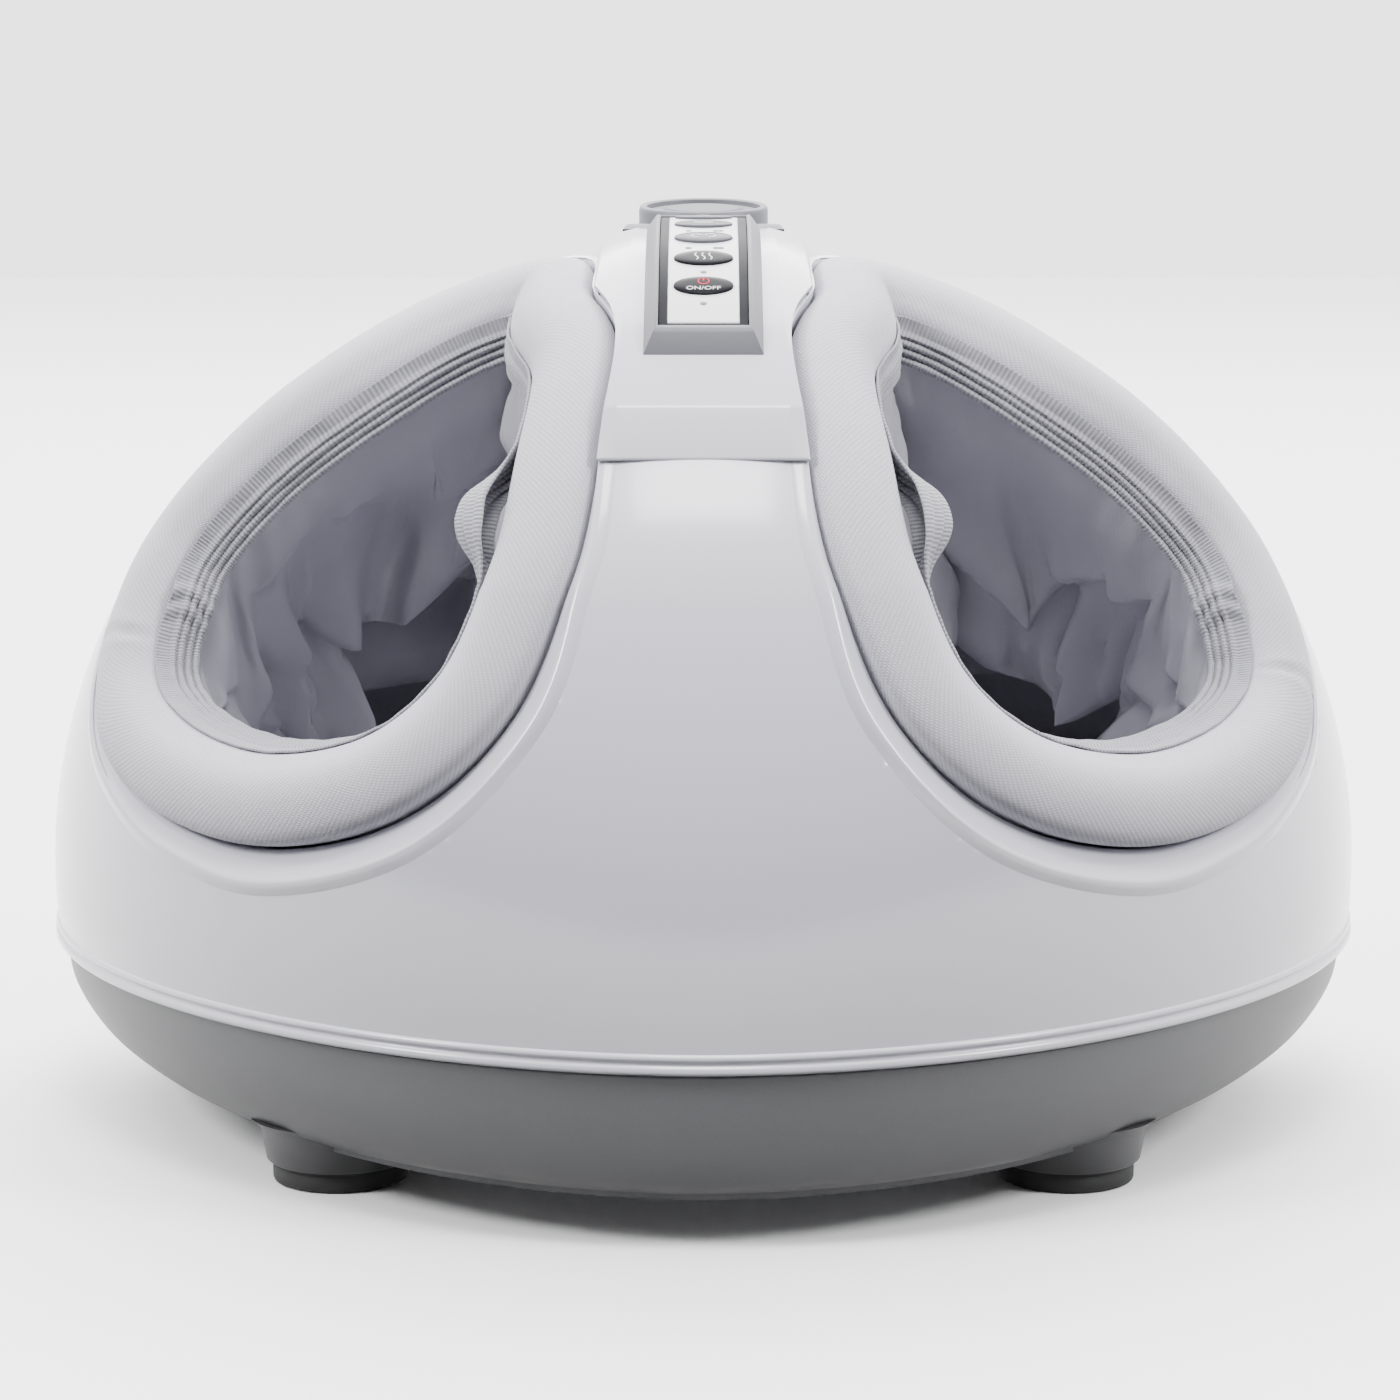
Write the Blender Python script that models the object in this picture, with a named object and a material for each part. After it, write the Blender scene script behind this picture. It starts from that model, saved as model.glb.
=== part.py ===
"""Shiatsu foot massager: a domed housing with two padded foot wells over a geared kneading deck.

Metres, +Z up, front towards -Y. The origin is the middle of the footprint on the floor.
"""

import math

import bmesh
import bpy
from mathutils import Vector

# Housing
HOUSING_WIDTH = 0.4505
HOUSING_DEPTH = 0.364
WIDEST_LEVEL = 0.077
DOME_RISE = 0.217
SEAM_LEVEL = 0.056
SHELL_WALL = 0.003
PLAN_POWER_LOW_SHARE = 0.92
PLAN_BLEND_HEIGHT = 0.140
PLAN_SHIFT = 0.045
PLAN_TOP_WIDTH_SHARE = 0.9767
HOUSING_SEGMENTS = 40
INNER_SEGMENTS = 28
INNER_LEVELS = 5
DOME_LEVELS = 9
DOME_TOP_STEP_SHARE = 0.25
SEAM_GAP = 0.0003
LIP_HEIGHT = 0.004
LIP_PROUD = 0.0012
CLEARANCE = 0.0003
OVERRUN = 0.050

# Base tray and what closes it below
TRAY_WALL = 0.003
TRAY_FLOOR = 0.018
TRAY_OUTLINE_SHARES = (
    (1.00, 0.990, 0.995),
    (0.66, 0.982, 0.995),
    (0.32, 0.945, 0.988),
    (0.09, 0.892, 0.976),
    (0.00, 0.855, 0.962),
)
PLATE_THICKNESS = 0.0030
PLATE_INSET = 0.004
FOOT_SPREAD_X = 0.116
FOOT_SPREAD_Y = 0.090
FOOT_PAD_RADIUS = 0.0215
FOOT_PAD_HEIGHT = 0.0065
FOOT_BOSS_TOP_RADIUS = 0.0255
FOOT_BOSS_BOTTOM_RADIUS = 0.0235
FOOT_PAD_BEVEL = 0.0012
FOOT_SEGMENTS = 16
ROUND_SEGMENTS = 16
SMALL_SEGMENTS = 10

# Rear vents and the power socket
VENT_COUNT = 3
VENT_PITCH = 0.009
VENT_WIDTH = 0.004
VENT_HEIGHT = 0.014
VENT_FIRST_X = 0.050
VENT_LEVEL = 0.040
INLET_LEVEL = 0.040
INLET_WIDTH = 0.026
INLET_HEIGHT = 0.018
INLET_DEPTH = 0.022
INLET_FLANGE = 0.003
INLET_FLANGE_THICKNESS = 0.002
INLET_CAVITY_WIDTH = 0.020
INLET_CAVITY_HEIGHT = 0.010
INLET_CAVITY_DEPTH = 0.016

# Foot openings: a plane facing forward, up and outward, and an egg drawn in it
OPENING_CENTRE_SHARES = (-0.4883, -0.4725, 0.576)
OPENING_FACING = Vector((-0.52, -0.60, 0.61))
RING_HALF_WIDTH = 0.084
RING_HALF_HEIGHT = 0.097
RING_OUTLINE_SHARES = (
    (-0.91, -0.01),
    (-0.79, 0.40),
    (-0.59, 0.78),
    (-0.29, 0.99),
    (-0.05, 1.18),
    (0.21, 1.02),
    (0.48, 0.66),
    (0.84, 0.28),
    (1.05, -0.08),
    (0.97, -0.55),
    (0.59, -0.80),
    (0.01, -0.89),
    (-0.53, -0.76),
    (-0.85, -0.45),
)
RING_SAMPLES = 36
CUSHION_OUTER_REACH = 0.0165
CUSHION_INNER_REACH = 0.0118
CUSHION_CROWN = 0.0025
CUSHION_DEPTH = 0.0140
CUSHION_SECTION_SHARES = (
    (-0.85, -1.00),
    (0.80, -1.00),
    (1.00, -0.68),
    (1.00, -0.05),
    (0.78, 0.62),
    (0.30, 1.00),
    (-0.25, 0.80),
    (-0.72, -0.055),
    (-0.93, -0.31),
    (-1.00, -0.66),
)
RING_FRAME_INNER = 0.0095
RING_FRAME_OUTER = 0.0160
RING_FRAME_THICKNESS = 0.0030
RING_FRAME_GAP = 0.0005
RING_SLOT_GAP = 0.0009
COLLAR_WALL = 0.0027
LEDGE_INNER = 0.0040
LEDGE_THICKNESS = 0.0040
COLLAR_TOP_DEPTH = 0.0028
CUTTER_RISE = 0.014

# Elastic band with sewn ribs inside each opening
BAND_THICKNESS = 0.0016
BAND_TOP = 0.0088
BAND_DROP = 0.0235
BAND_SLANT = 0.0025
BAND_RIBS = 4
BAND_RIB_PROUD = 0.0011

# Fabric foot pockets
LINER_WALL = 0.0021
LINER_LEVELS = 6
LINER_NECK = 0.0060
LINER_FLOOR_LEVEL = 0.0895
LINER_SPINE_MARGIN = 0.0495
LINER_SIDE_MARGIN = 0.053
LINER_FRONT_MARGIN = 0.072
LINER_REAR_MARGIN = 0.064
LINER_FIRST_PULL = 0.016
LINER_DROP_SHARE = 0.60
LINER_SOLE_SHARE = 0.55
LINER_TURN_SHARE = 0.35
LINER_FOLD_DEPTH = 0.0035
LINER_FOLD_COUNT = 9
LINER_FLOOR_POWER = 2.5

# Raised spine between the openings, as angles round the side profile of the dome
POD_START = math.radians(46.0)
POD_STEP_END = math.radians(51.0)
POD_TAIL_START = math.radians(116.0)
POD_END = math.radians(122.0)
POD_RISE = 0.0040
POD_HALF_WIDTH_LOW = 0.0360
POD_HALF_WIDTH_TOP = 0.0330
POD_CREASE_LOW = 0.0264
POD_CREASE_TOP = 0.0215
POD_EDGE_SHARE = 0.60
POD_CORNER_SHARE = 0.30
POD_SINK = 0.0060
POD_STEPS = 12

# Control console on the spine
CONSOLE_START = math.radians(57.5)
CONSOLE_END = math.radians(95.0)
CONSOLE_STEPS = 9
CONSOLE_HALF_WIDTH = 0.0185
CONSOLE_SHOULDER = 0.0032
CONSOLE_HEIGHT = 0.0042
CONSOLE_TOE = 0.0005
CONSOLE_END_RAMP = math.radians(2.4)
INLAY_HALF_WIDTH = 0.0140
INLAY_THICKNESS = 0.0014
LABEL_HALF_WIDTH = 0.0112
LABEL_THICKNESS = 0.0014
LABEL_REST = 0.0010
LABEL_START = math.radians(60.6)
LABEL_END = math.radians(93.6)
INLAY_MARGIN = math.radians(0.50)
RECESS_FLOOR = 0.0014
CONSOLE_BORE_HALF_WIDTH = 0.0125
WINDOW_START = math.radians(61.5)
WINDOW_END = math.radians(92.5)
BOARD_HALF_WIDTH = 0.0120
BOARD_THICKNESS = 0.0016

# Push buttons along the console
BUTTON_NAMES = ("button_power", "button_heat", "button_massage", "button_air", "button_timer")
BUTTON_FIRST = math.radians(66.5)
BUTTON_PITCH = math.radians(5.6)
BUTTON_HALF_WIDTH = 0.0094
BUTTON_HALF_LENGTH = 0.0052
BUTTON_PROUD = 0.0008
BUTTON_STEM = 0.0030
BUTTON_GAP = 0.0004
BUTTON_SEGMENTS = 14
BUTTON_TOP_SHARE = 0.86

# Round silver crown behind the console
CROWN_MARGIN = 0.0025
CROWN_STAND = 0.0034
CROWN_TILT = math.radians(5.0)
CROWN_RADIUS = 0.0220
CROWN_HEIGHT = 0.0085
CROWN_RIM = 0.0028
CROWN_RECESS = 0.0024
CROWN_DISC_THICKNESS = 0.0016
CROWN_SEGMENTS = 24
DISC_STEP_SHARES = (0.72, 0.66)
TRIM_MARGIN = 0.0075
TRIM_HALF_WIDTH = 0.0270
TRIM_THICKNESS = 0.0021

# Kneading drive, on a deck in the base
DECK_BOTTOM = 0.0240
DECK_THICKNESS = 0.0030
DECK_INSET = 0.005
DECK_BOSS_RADIUS = 0.0080
DECK_BOSS_X = 0.140
DECK_BOSS_Y = 0.070
GEAR_MODULE = 0.005
KNEADING_TEETH = 18
PINION_TEETH = 10
WORM_MODULE = 0.0025
WHEEL_TEETH = 28
WORM_STARTS = 2
WORM_PITCH_RADIUS = 0.008
WORM_LEVEL = 0.046
WORM_SEGMENTS = 14
WORM_TURNS = 2
ADDENDUM_SHARE = 0.90
DEDENDUM_SHARE = 1.25
TOOTH_ROOT_SHARE = 0.56
TOOTH_TIP_SHARE = 0.20
GEAR_SEAT = 0.0027
GEAR_FACE = 0.0080
WHEEL_FACE = 0.0050
POST_RADIUS = 0.0046
BORE_RADIUS = 0.0050
HUB_RADIUS = 0.0085
WHEEL_HUB_RADIUS = 0.0119
BOSS_RADIUS = 0.0095
HEAD_RADIUS = 0.0360
HEAD_BOTTOM = 0.0560
HEAD_DISC = 0.0080
HEAD_NODE_COUNT = 3
HEAD_NODE_ORBIT = 0.0215
HEAD_NODE_RADIUS = 0.0125
HEAD_NODE_RISE = 0.0220
HEAD_RINGS = 5
HEAD_SEGMENTS = 15
HEAD_FALL_SHARE = 0.35
HEAD_FOOT_SHARE = 0.90
HEAD_NODE_ROOT_SHARE = 0.80
PLATE_LEVEL = 0.0680
MASSAGE_PLATE_THICKNESS = 0.0030
MASSAGE_PLATE_GAP = 0.0030
MASSAGE_PLATE_HALF_WIDTH = 0.0560
MASSAGE_PLATE_HALF_LENGTH = 0.1020
MASSAGE_PLATE_CORNER = 0.0420
PILLAR_RADIUS = 0.0035
PILLAR_SPREAD_X = 0.0325
PILLAR_SPREAD_Y = 0.0890

# Motor, air pump and electronics in the spine
MOTOR_RADIUS = 0.0170
MOTOR_LENGTH = 0.0620
MOTOR_START = -0.0060
MOTOR_SHAFT_RADIUS = 0.0030
BEARING_WIDTH = 0.0220
BEARING_LENGTH = 0.0080
BEARING_TOP_MARGIN = 0.0080
CRADLE_WIDTH = 0.0280
CRADLE_LENGTH = 0.0400
PUMP_LEVEL = 0.0950
PUMP_LENGTH = 0.0560
PUMP_WIDTH = 0.0480
PUMP_HEIGHT = 0.0420
PUMP_GAP = 0.0120
PUMP_LEG = 0.0060
VALVE_LENGTH = 0.0300
VALVE_WIDTH = 0.0340
VALVE_HEIGHT = 0.0260
SUPPLY_WIDTH = 0.0560
SUPPLY_LENGTH = 0.0500
SUPPLY_HEIGHT = 0.0300
SUPPLY_GAP = 0.0085
MAIN_BOARD_WIDTH = 0.0560
MAIN_BOARD_THICKNESS = 0.0016
MAIN_BOARD_FRONT_MARGIN = 0.0152
MAIN_BOARD_REAR_MARGIN = 0.0083
MAIN_BOARD_LEVEL = 0.0360
SPACER_RADIUS = 0.0020
SPACER_INSET = 0.0050
BODY_BEVEL = 0.0030

# Inflating cushions on both sides of each foot, sewn to the pocket
BAG_HALF_THICKNESS = 0.0060
BAG_HALF_LENGTH = 0.0500
BAG_HALF_HEIGHT = 0.0220
BAG_Y = 0.0080
BAG_LEVEL = 0.1180
BAG_GAP = 0.0010
BAG_SEGMENTS = 10
BAG_RINGS = 4
BAG_POWER = 3.0
BAG_EDGE_SHARE = 0.78

SIDES = (("left", -1), ("right", 1))
CORNERS = ((-1, -1), (-1, 1), (1, -1), (1, 1))

MATERIALS = {
    "shell_white": ((0.86, 0.86, 0.89), 0.18, 0.0),
    "tray_grey": ((0.30, 0.30, 0.32), 0.45, 0.0),
    "plate_grey": ((0.17, 0.17, 0.18), 0.55, 0.0),
    "rubber_black": ((0.02, 0.02, 0.02), 0.80, 0.0),
    "ring_fabric": ((0.52, 0.52, 0.55), 0.90, 0.0),
    "band_fabric": ((0.34, 0.34, 0.36), 0.90, 0.0),
    "liner_fabric": ((0.30, 0.30, 0.32), 0.75, 0.0),
    "silver_trim": ((0.62, 0.62, 0.65), 0.30, 0.6),
    "inlay_black": ((0.03, 0.03, 0.04), 0.12, 0.0),
    "label_white": ((0.80, 0.80, 0.84), 0.35, 0.0),
    "button_black": ((0.04, 0.04, 0.05), 0.30, 0.0),
    "button_grey": ((0.25, 0.25, 0.27), 0.30, 0.0),
    "steel": ((0.55, 0.55, 0.56), 0.35, 1.0),
    "gear_nylon": ((0.75, 0.74, 0.68), 0.50, 0.0),
    "inner_plastic": ((0.35, 0.36, 0.38), 0.60, 0.0),
    "board_green": ((0.03, 0.20, 0.08), 0.45, 0.0),
    "bag_film": ((0.10, 0.10, 0.11), 0.55, 0.0),
}


def clear_scene():
    for item in list(bpy.data.objects):
        bpy.data.objects.remove(item)


def material(name):
    made = bpy.data.materials.get(name)
    if made:
        return made
    colour, roughness, metallic = MATERIALS[name]
    made = bpy.data.materials.new(name)
    made.use_nodes = True
    shader = made.node_tree.nodes["Principled BSDF"]
    shader.inputs["Base Color"].default_value = (*colour, 1.0)
    shader.inputs["Roughness"].default_value = roughness
    shader.inputs["Metallic"].default_value = metallic
    return made


def add_object(name, bm, finish, smooth=True):
    """Turns a bmesh in world coordinates into a named object."""
    bmesh.ops.recalc_face_normals(bm, faces=bm.faces)
    mesh = bpy.data.meshes.new(name)
    bm.to_mesh(mesh)
    bm.free()
    if smooth:
        mesh.shade_smooth()
        mesh.set_sharp_from_angle(angle=math.radians(35.0))
    made = bpy.data.objects.new(name, mesh)
    mesh.materials.append(material(finish))
    bpy.context.collection.objects.link(made)
    return made


def move_origin(item, point):
    """Puts an object's origin on a point, with its shape left in place."""
    offset = Vector(point)
    for vertex in item.data.vertices:
        vertex.co -= offset
    item.location = offset


def boolean(target, cutter, operation="DIFFERENCE"):
    cutter.hide_render = True
    cutter.display_type = "WIRE"
    step = target.modifiers.new(cutter.name, "BOOLEAN")
    step.operation = operation
    step.solver = "EXACT"
    step.object = cutter


def loft(rings, closed=False):
    """A closed body through equal rings of points, capped by a fan at each end unless it closes on itself."""
    bm = bmesh.new()
    rows = [[bm.verts.new(point) for point in ring] for ring in rings]
    count = len(rows[0])
    spans = len(rows) if closed else len(rows) - 1
    for i in range(spans):
        low = rows[i]
        high = rows[(i + 1) % len(rows)]
        for j in range(count):
            k = (j + 1) % count
            bm.faces.new((low[j], low[k], high[k], high[j]))
    if not closed:
        for row in (rows[0], rows[-1]):
            middle = sum((vertex.co for vertex in row), Vector()) / count
            centre = bm.verts.new(middle)
            for j in range(count):
                bm.faces.new((row[j], row[(j + 1) % count], centre))
    return bm


def circle(radius, segments, start=0.0):
    step = 2 * math.pi / segments
    return [
        (radius * math.cos(start + step * i), radius * math.sin(start + step * i))
        for i in range(segments)
    ]


def turned(profile, centre=(0, 0, 0), segments=ROUND_SEGMENTS):
    """A body turned about Z through (radius, level) pairs, solid to its axis."""
    x, y, z = centre
    rings = [
        [(x + px, y + py, z + level) for px, py in circle(radius, segments)]
        for radius, level in profile
    ]
    return loft(rings)


def plate(outline, holes, bottom, top):
    """A flat plate with holes, from outlines in plan."""
    bm = bmesh.new()
    edges = []
    for loop in [outline, *holes]:
        verts = [bm.verts.new((x, y, bottom)) for x, y in loop]
        for j, vertex in enumerate(verts):
            edges.append(bm.edges.new((vertex, verts[(j + 1) % len(verts)])))
    bmesh.ops.triangle_fill(bm, use_beauty=True, edges=edges)
    grown = bmesh.ops.extrude_face_region(bm, geom=bm.faces[:])
    raised = [part for part in grown["geom"] if isinstance(part, bmesh.types.BMVert)]
    bmesh.ops.translate(bm, verts=raised, vec=(0, 0, top - bottom))
    return bm


def box(size, centre):
    bm = bmesh.new()
    bmesh.ops.create_cube(bm, size=1.0)
    bmesh.ops.scale(bm, verts=bm.verts, vec=size)
    bmesh.ops.translate(bm, verts=bm.verts, vec=centre)
    return bm


def gathered(bodies):
    """Several bodies as one bmesh, for one cut or join with all of them."""
    whole = bmesh.new()
    for body in bodies:
        copies = {vertex: whole.verts.new(vertex.co) for vertex in body.verts}
        for face in body.faces:
            whole.faces.new([copies[vertex] for vertex in face.verts])
        body.free()
    return whole


def bevelled(bm, width, segments=1):
    bmesh.ops.bevel(
        bm, geom=bm.edges[:], offset=width, offset_type="OFFSET", affect="EDGES",
        segments=segments, profile=0.5, material=-1,
    )
    return bm


def signed_power(value, power):
    return math.copysign(abs(value) ** power, value)


# Dome: the surface that the shell, rings and console all follow
def plan_blend(level):
    """From 0 at the seam, where the plan is an egg, to 1, where it has become an ellipse."""
    return min(max((level - SEAM_LEVEL) / PLAN_BLEND_HEIGHT, 0), 1)


def plan_power(level):
    return 2 * (PLAN_POWER_LOW_SHARE + (1 - PLAN_POWER_LOW_SHARE) * plan_blend(level))


def plan_shift(level):
    """How far behind the middle the housing is widest."""
    return PLAN_SHIFT * (1 - plan_blend(level))


def plan_half_width(level):
    return HOUSING_WIDTH / 2 * (1 - (1 - PLAN_TOP_WIDTH_SHARE) * plan_blend(level))


def plan_reach(level, way):
    """From the widest place to the front (way below 0) or to the back."""
    return HOUSING_DEPTH / 2 + math.copysign(plan_shift(level), -way)


def plan_outline(level, share_x, share_y, inset=0.0, segments=HOUSING_SEGMENTS):
    """Points round the housing at a level, with its half sizes scaled by two shares and then inset."""
    power = plan_power(level)
    across = plan_half_width(level) * share_x - inset
    points = []
    for x, y in circle(1, segments):
        along = plan_reach(level, y) * share_y - inset
        points.append(
            (across * signed_power(x, 2 / power), plan_shift(level) + along * signed_power(y, 2 / power))
        )
    return points


def dome_value(point, inset=0.0):
    """Below zero inside the dome, above zero outside it."""
    power = plan_power(point.z)
    from_widest = point.y - plan_shift(point.z)
    across = abs(point.x / (plan_half_width(point.z) - inset)) ** power
    along = abs(from_widest / (plan_reach(point.z, from_widest) - inset)) ** power
    rise = (point.z - WIDEST_LEVEL) / (DOME_RISE - inset)
    return (across + along) ** (2 / power) + rise * rise - 1


def dome_normal(point):
    step = CLEARANCE
    slopes = []
    for axis in range(3):
        shift = Vector()
        shift[axis] = step
        slopes.append(dome_value(point + shift) - dome_value(point - shift))
    return Vector(slopes).normalized()


def on_dome(start, direction):
    """Where a line from a point near the surface meets the dome, by halving."""
    reach = HOUSING_WIDTH / 4
    low = -reach
    high = reach
    for _ in range(40):
        middle = (low + high) / 2
        if dome_value(start + direction * middle) < 0:
            low = middle
        else:
            high = middle
    return start + direction * low


def dome_rings(inset, bottom, segments, levels):
    """Level rings from a bottom height to just under the apex."""
    rise = DOME_RISE - inset
    first = math.asin((bottom - WIDEST_LEVEL) / rise)
    rings = []
    for i in range(levels + 1):
        angle = first + (math.pi / 2 - first) * (i / (levels + DOME_TOP_STEP_SHARE))
        level = WIDEST_LEVEL + rise * math.sin(angle)
        scale = math.cos(angle)
        outline = plan_outline(level, scale, scale, inset * scale, segments)
        rings.append([(x, y, level) for x, y in outline])
    return rings


def dome_body(inset, bottom, segments=HOUSING_SEGMENTS, levels=DOME_LEVELS):
    rings = dome_rings(inset, bottom, segments, levels)
    bm = loft(rings)
    bm.verts.ensure_lookup_table()
    bm.verts[-1].co.z = WIDEST_LEVEL + DOME_RISE - inset
    return bm


def spine_point(angle, across=0.0, lift=0.0):
    """A point on the side profile of the dome, lifted off it along the profile's normal."""
    half_depth = HOUSING_DEPTH / 2
    normal = Vector((0, -math.cos(angle) / half_depth, math.sin(angle) / DOME_RISE)).normalized()
    foot = Vector((across, -half_depth * math.cos(angle), WIDEST_LEVEL + DOME_RISE * math.sin(angle)))
    return foot + normal * lift


def spine_angle(y):
    """Where along the side profile, as an angle, the spine reaches a place from front to back."""
    return math.acos(-y / (HOUSING_DEPTH / 2))


def spine_level(y):
    return spine_point(spine_angle(y)).z


def spine_normal(angle):
    return (spine_point(angle, 0, 1) - spine_point(angle)).normalized()


def spine_body(start, end, steps, section):
    """A strip along the spine; section(share) gives its (across, lift) corners at that share of its length."""
    rings = []
    for i in range(steps + 1):
        share = i / steps
        angle = start + (end - start) * share
        rings.append([spine_point(angle, x, lift) for x, lift in section(share)])
    return loft(rings)


def strip_section(half_width, bottom, top):
    return ((-half_width, bottom), (half_width, bottom), (half_width, top), (-half_width, top))


# Opening outline: the line that the middle of each ring cushion follows on the dome
def closed_curve(knots, count):
    """Evenly spaced points on a smooth closed curve through a few knots."""
    dense = []
    per_span = 12
    for i in range(len(knots)):
        a, b, c, d = (knots[(i + k - 1) % len(knots)] for k in range(4))
        for s in range(per_span):
            t = s / per_span
            dense.append(
                (
                    b * 2 + (c - a) * t + (a * 2 - b * 5 + c * 4 - d) * t**2
                    + (b * 3 - a - c * 3 + d) * t**3
                ) / 2
            )
    lengths = [0.0]
    for i, point in enumerate(dense):
        lengths.append(lengths[-1] + (dense[(i + 1) % len(dense)] - point).length)
    points = []
    k = 0
    for i in range(count):
        target = lengths[-1] * i / count
        while lengths[k + 1] < target:
            k += 1
        share = (target - lengths[k]) / (lengths[k + 1] - lengths[k])
        points.append(dense[k].lerp(dense[(k + 1) % len(dense)], share))
    return points


def opening_centre():
    """Middle of the left opening's plane, as shares of the dome's half sizes and rise."""
    across, along, high = OPENING_CENTRE_SHARES
    return Vector(
        (HOUSING_WIDTH / 2 * across, HOUSING_DEPTH / 2 * along, WIDEST_LEVEL + DOME_RISE * high)
    )


def ring_frames(side, count):
    """(point, outward, up) round one opening, on the dome's surface."""
    facing = OPENING_FACING.normalized()
    opening = opening_centre()
    outward_axis = facing.cross(Vector((0, 0, 1))).normalized()
    upward_axis = outward_axis.cross(facing).normalized()
    if outward_axis.x > 0:
        outward_axis.negate()
    if upward_axis.z < 0:
        upward_axis.negate()
    knots = []
    for across, along in RING_OUTLINE_SHARES:
        flat = (
            opening
            + outward_axis * (across * RING_HALF_WIDTH)
            + upward_axis * (along * RING_HALF_HEIGHT)
        )
        knots.append(on_dome(flat, facing))
    points = [on_dome(point, facing) for point in closed_curve(knots, count)]
    middle = sum(points, Vector()) / count
    frames = []
    for i, point in enumerate(points):
        up = dome_normal(point)
        tangent = points[(i + 1) % count] - points[i - 1]
        outward = tangent.cross(up).normalized()
        if outward.dot(point - middle) < 0:
            outward.negate()
        frames.append((mirrored(point, side), mirrored(outward, side), mirrored(up, side)))
    return frames


def mirrored(vector, side):
    return Vector((-side * vector.x, vector.y, vector.z))


def ring_body(frames, section):
    """Sweeps (outward, up) corners round an opening."""
    return loft(
        [[point + out * s + up * t for s, t in section] for point, out, up in frames], closed=True
    )


def opening_facing(side):
    return mirrored(OPENING_FACING.normalized(), side)


def cushion_depth_total():
    return CUSHION_DEPTH + RING_FRAME_GAP + RING_FRAME_THICKNESS + CLEARANCE


# Housing pieces
def make_opening_cutter(side_name, side):
    """Clears one opening: a seat for the ring above a ledge, and a clear hole below it."""
    frames = ring_frames(side, RING_SAMPLES)
    seat = -cushion_depth_total()
    slot = CUSHION_OUTER_REACH + RING_SLOT_GAP
    axis = opening_facing(side)
    rings = [
        [p + out * LEDGE_INNER + up * seat - axis * OVERRUN for p, out, up in frames],
        [p + out * LEDGE_INNER + up * seat for p, out, up in frames],
        [p + out * slot + up * seat for p, out, up in frames],
        [p + out * slot + up * CUTTER_RISE for p, out, up in frames],
        [p + out * slot + axis * OVERRUN for p, out, up in frames],
    ]
    return add_object("cutter_opening_" + side_name, loft(rings), "shell_white")


def make_collar(side_name, side):
    """The wall and ledge moulded round one opening, which carry the ring."""
    outer = CUSHION_OUTER_REACH + RING_SLOT_GAP + COLLAR_WALL
    inner = LEDGE_INNER - COLLAR_WALL
    bottom = -cushion_depth_total() - LEDGE_THICKNESS
    section = ((inner, bottom), (outer, bottom), (outer, -COLLAR_TOP_DEPTH), (inner, -COLLAR_TOP_DEPTH))
    body = ring_body(ring_frames(side, RING_SAMPLES), section)
    return add_object("join_collar_" + side_name, body, "shell_white")


def pod_section(share):
    angle = POD_START + (POD_END - POD_START) * share
    step = (angle - POD_START) / (POD_STEP_END - POD_START)
    tail = (POD_END - angle) / (POD_END - POD_TAIL_START)
    climb = min(max((angle - POD_STEP_END) / (CONSOLE_END - POD_STEP_END), 0), 1)
    half = POD_HALF_WIDTH_LOW + (POD_HALF_WIDTH_TOP - POD_HALF_WIDTH_LOW) * climb
    crease = POD_CREASE_LOW + (POD_CREASE_TOP - POD_CREASE_LOW) * climb
    lift = POD_RISE * min(step, tail, 1)
    edge = lift * POD_EDGE_SHARE
    corner = half - lift * POD_CORNER_SHARE
    return (
        (-half, -POD_SINK),
        (half, -POD_SINK),
        (half, 0.0),
        (corner, edge),
        (crease, lift),
        (-crease, lift),
        (-corner, edge),
        (-half, 0.0),
    )


def make_upper_shell():
    shell = add_object("upper_shell", dome_body(0.0, SEAM_LEVEL + SEAM_GAP), "shell_white")
    lip = []
    for inset, level in (
        (-LIP_PROUD, SEAM_LEVEL + SEAM_GAP),
        (-LIP_PROUD, SEAM_LEVEL + LIP_HEIGHT - LIP_PROUD),
        (SHELL_WALL / 4, SEAM_LEVEL + LIP_HEIGHT),
    ):
        scale = math.cos(math.asin((level - WIDEST_LEVEL) / DOME_RISE))
        lip.append([(x, y, level) for x, y in plan_outline(level, scale, scale, inset)])
    boolean(shell, add_object("join_lip", loft(lip), "shell_white"), "UNION")
    pod = spine_body(POD_START, POD_END, POD_STEPS, pod_section)
    boolean(shell, add_object("join_pod", pod, "shell_white"), "UNION")
    hollow = dome_body(SHELL_WALL, SEAM_LEVEL - LIP_HEIGHT, INNER_SEGMENTS, INNER_LEVELS)
    boolean(shell, add_object("cutter_hollow", hollow, "shell_white"))
    for side_name, side in SIDES:
        boolean(shell, make_collar(side_name, side), "UNION")
    for side_name, side in SIDES:
        boolean(shell, make_opening_cutter(side_name, side))
    window = spine_body(
        WINDOW_START, WINDOW_END, POD_STEPS,
        lambda share: strip_section(CONSOLE_BORE_HALF_WIDTH, -POD_SINK * 2, POD_RISE * 2),
    )
    boolean(shell, add_object("cutter_window", window, "shell_white"))


def tray_outline(share_x, share_y, inset=0.0, segments=HOUSING_SEGMENTS):
    """The tray's outline, from shares of the shell's outline at the seam."""
    scale = math.cos(math.asin((SEAM_LEVEL - WIDEST_LEVEL) / DOME_RISE))
    return plan_outline(SEAM_LEVEL, scale * share_x, scale * share_y, inset, segments)


def tray_level(share):
    return TRAY_FLOOR + (SEAM_LEVEL - TRAY_FLOOR) * share


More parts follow.
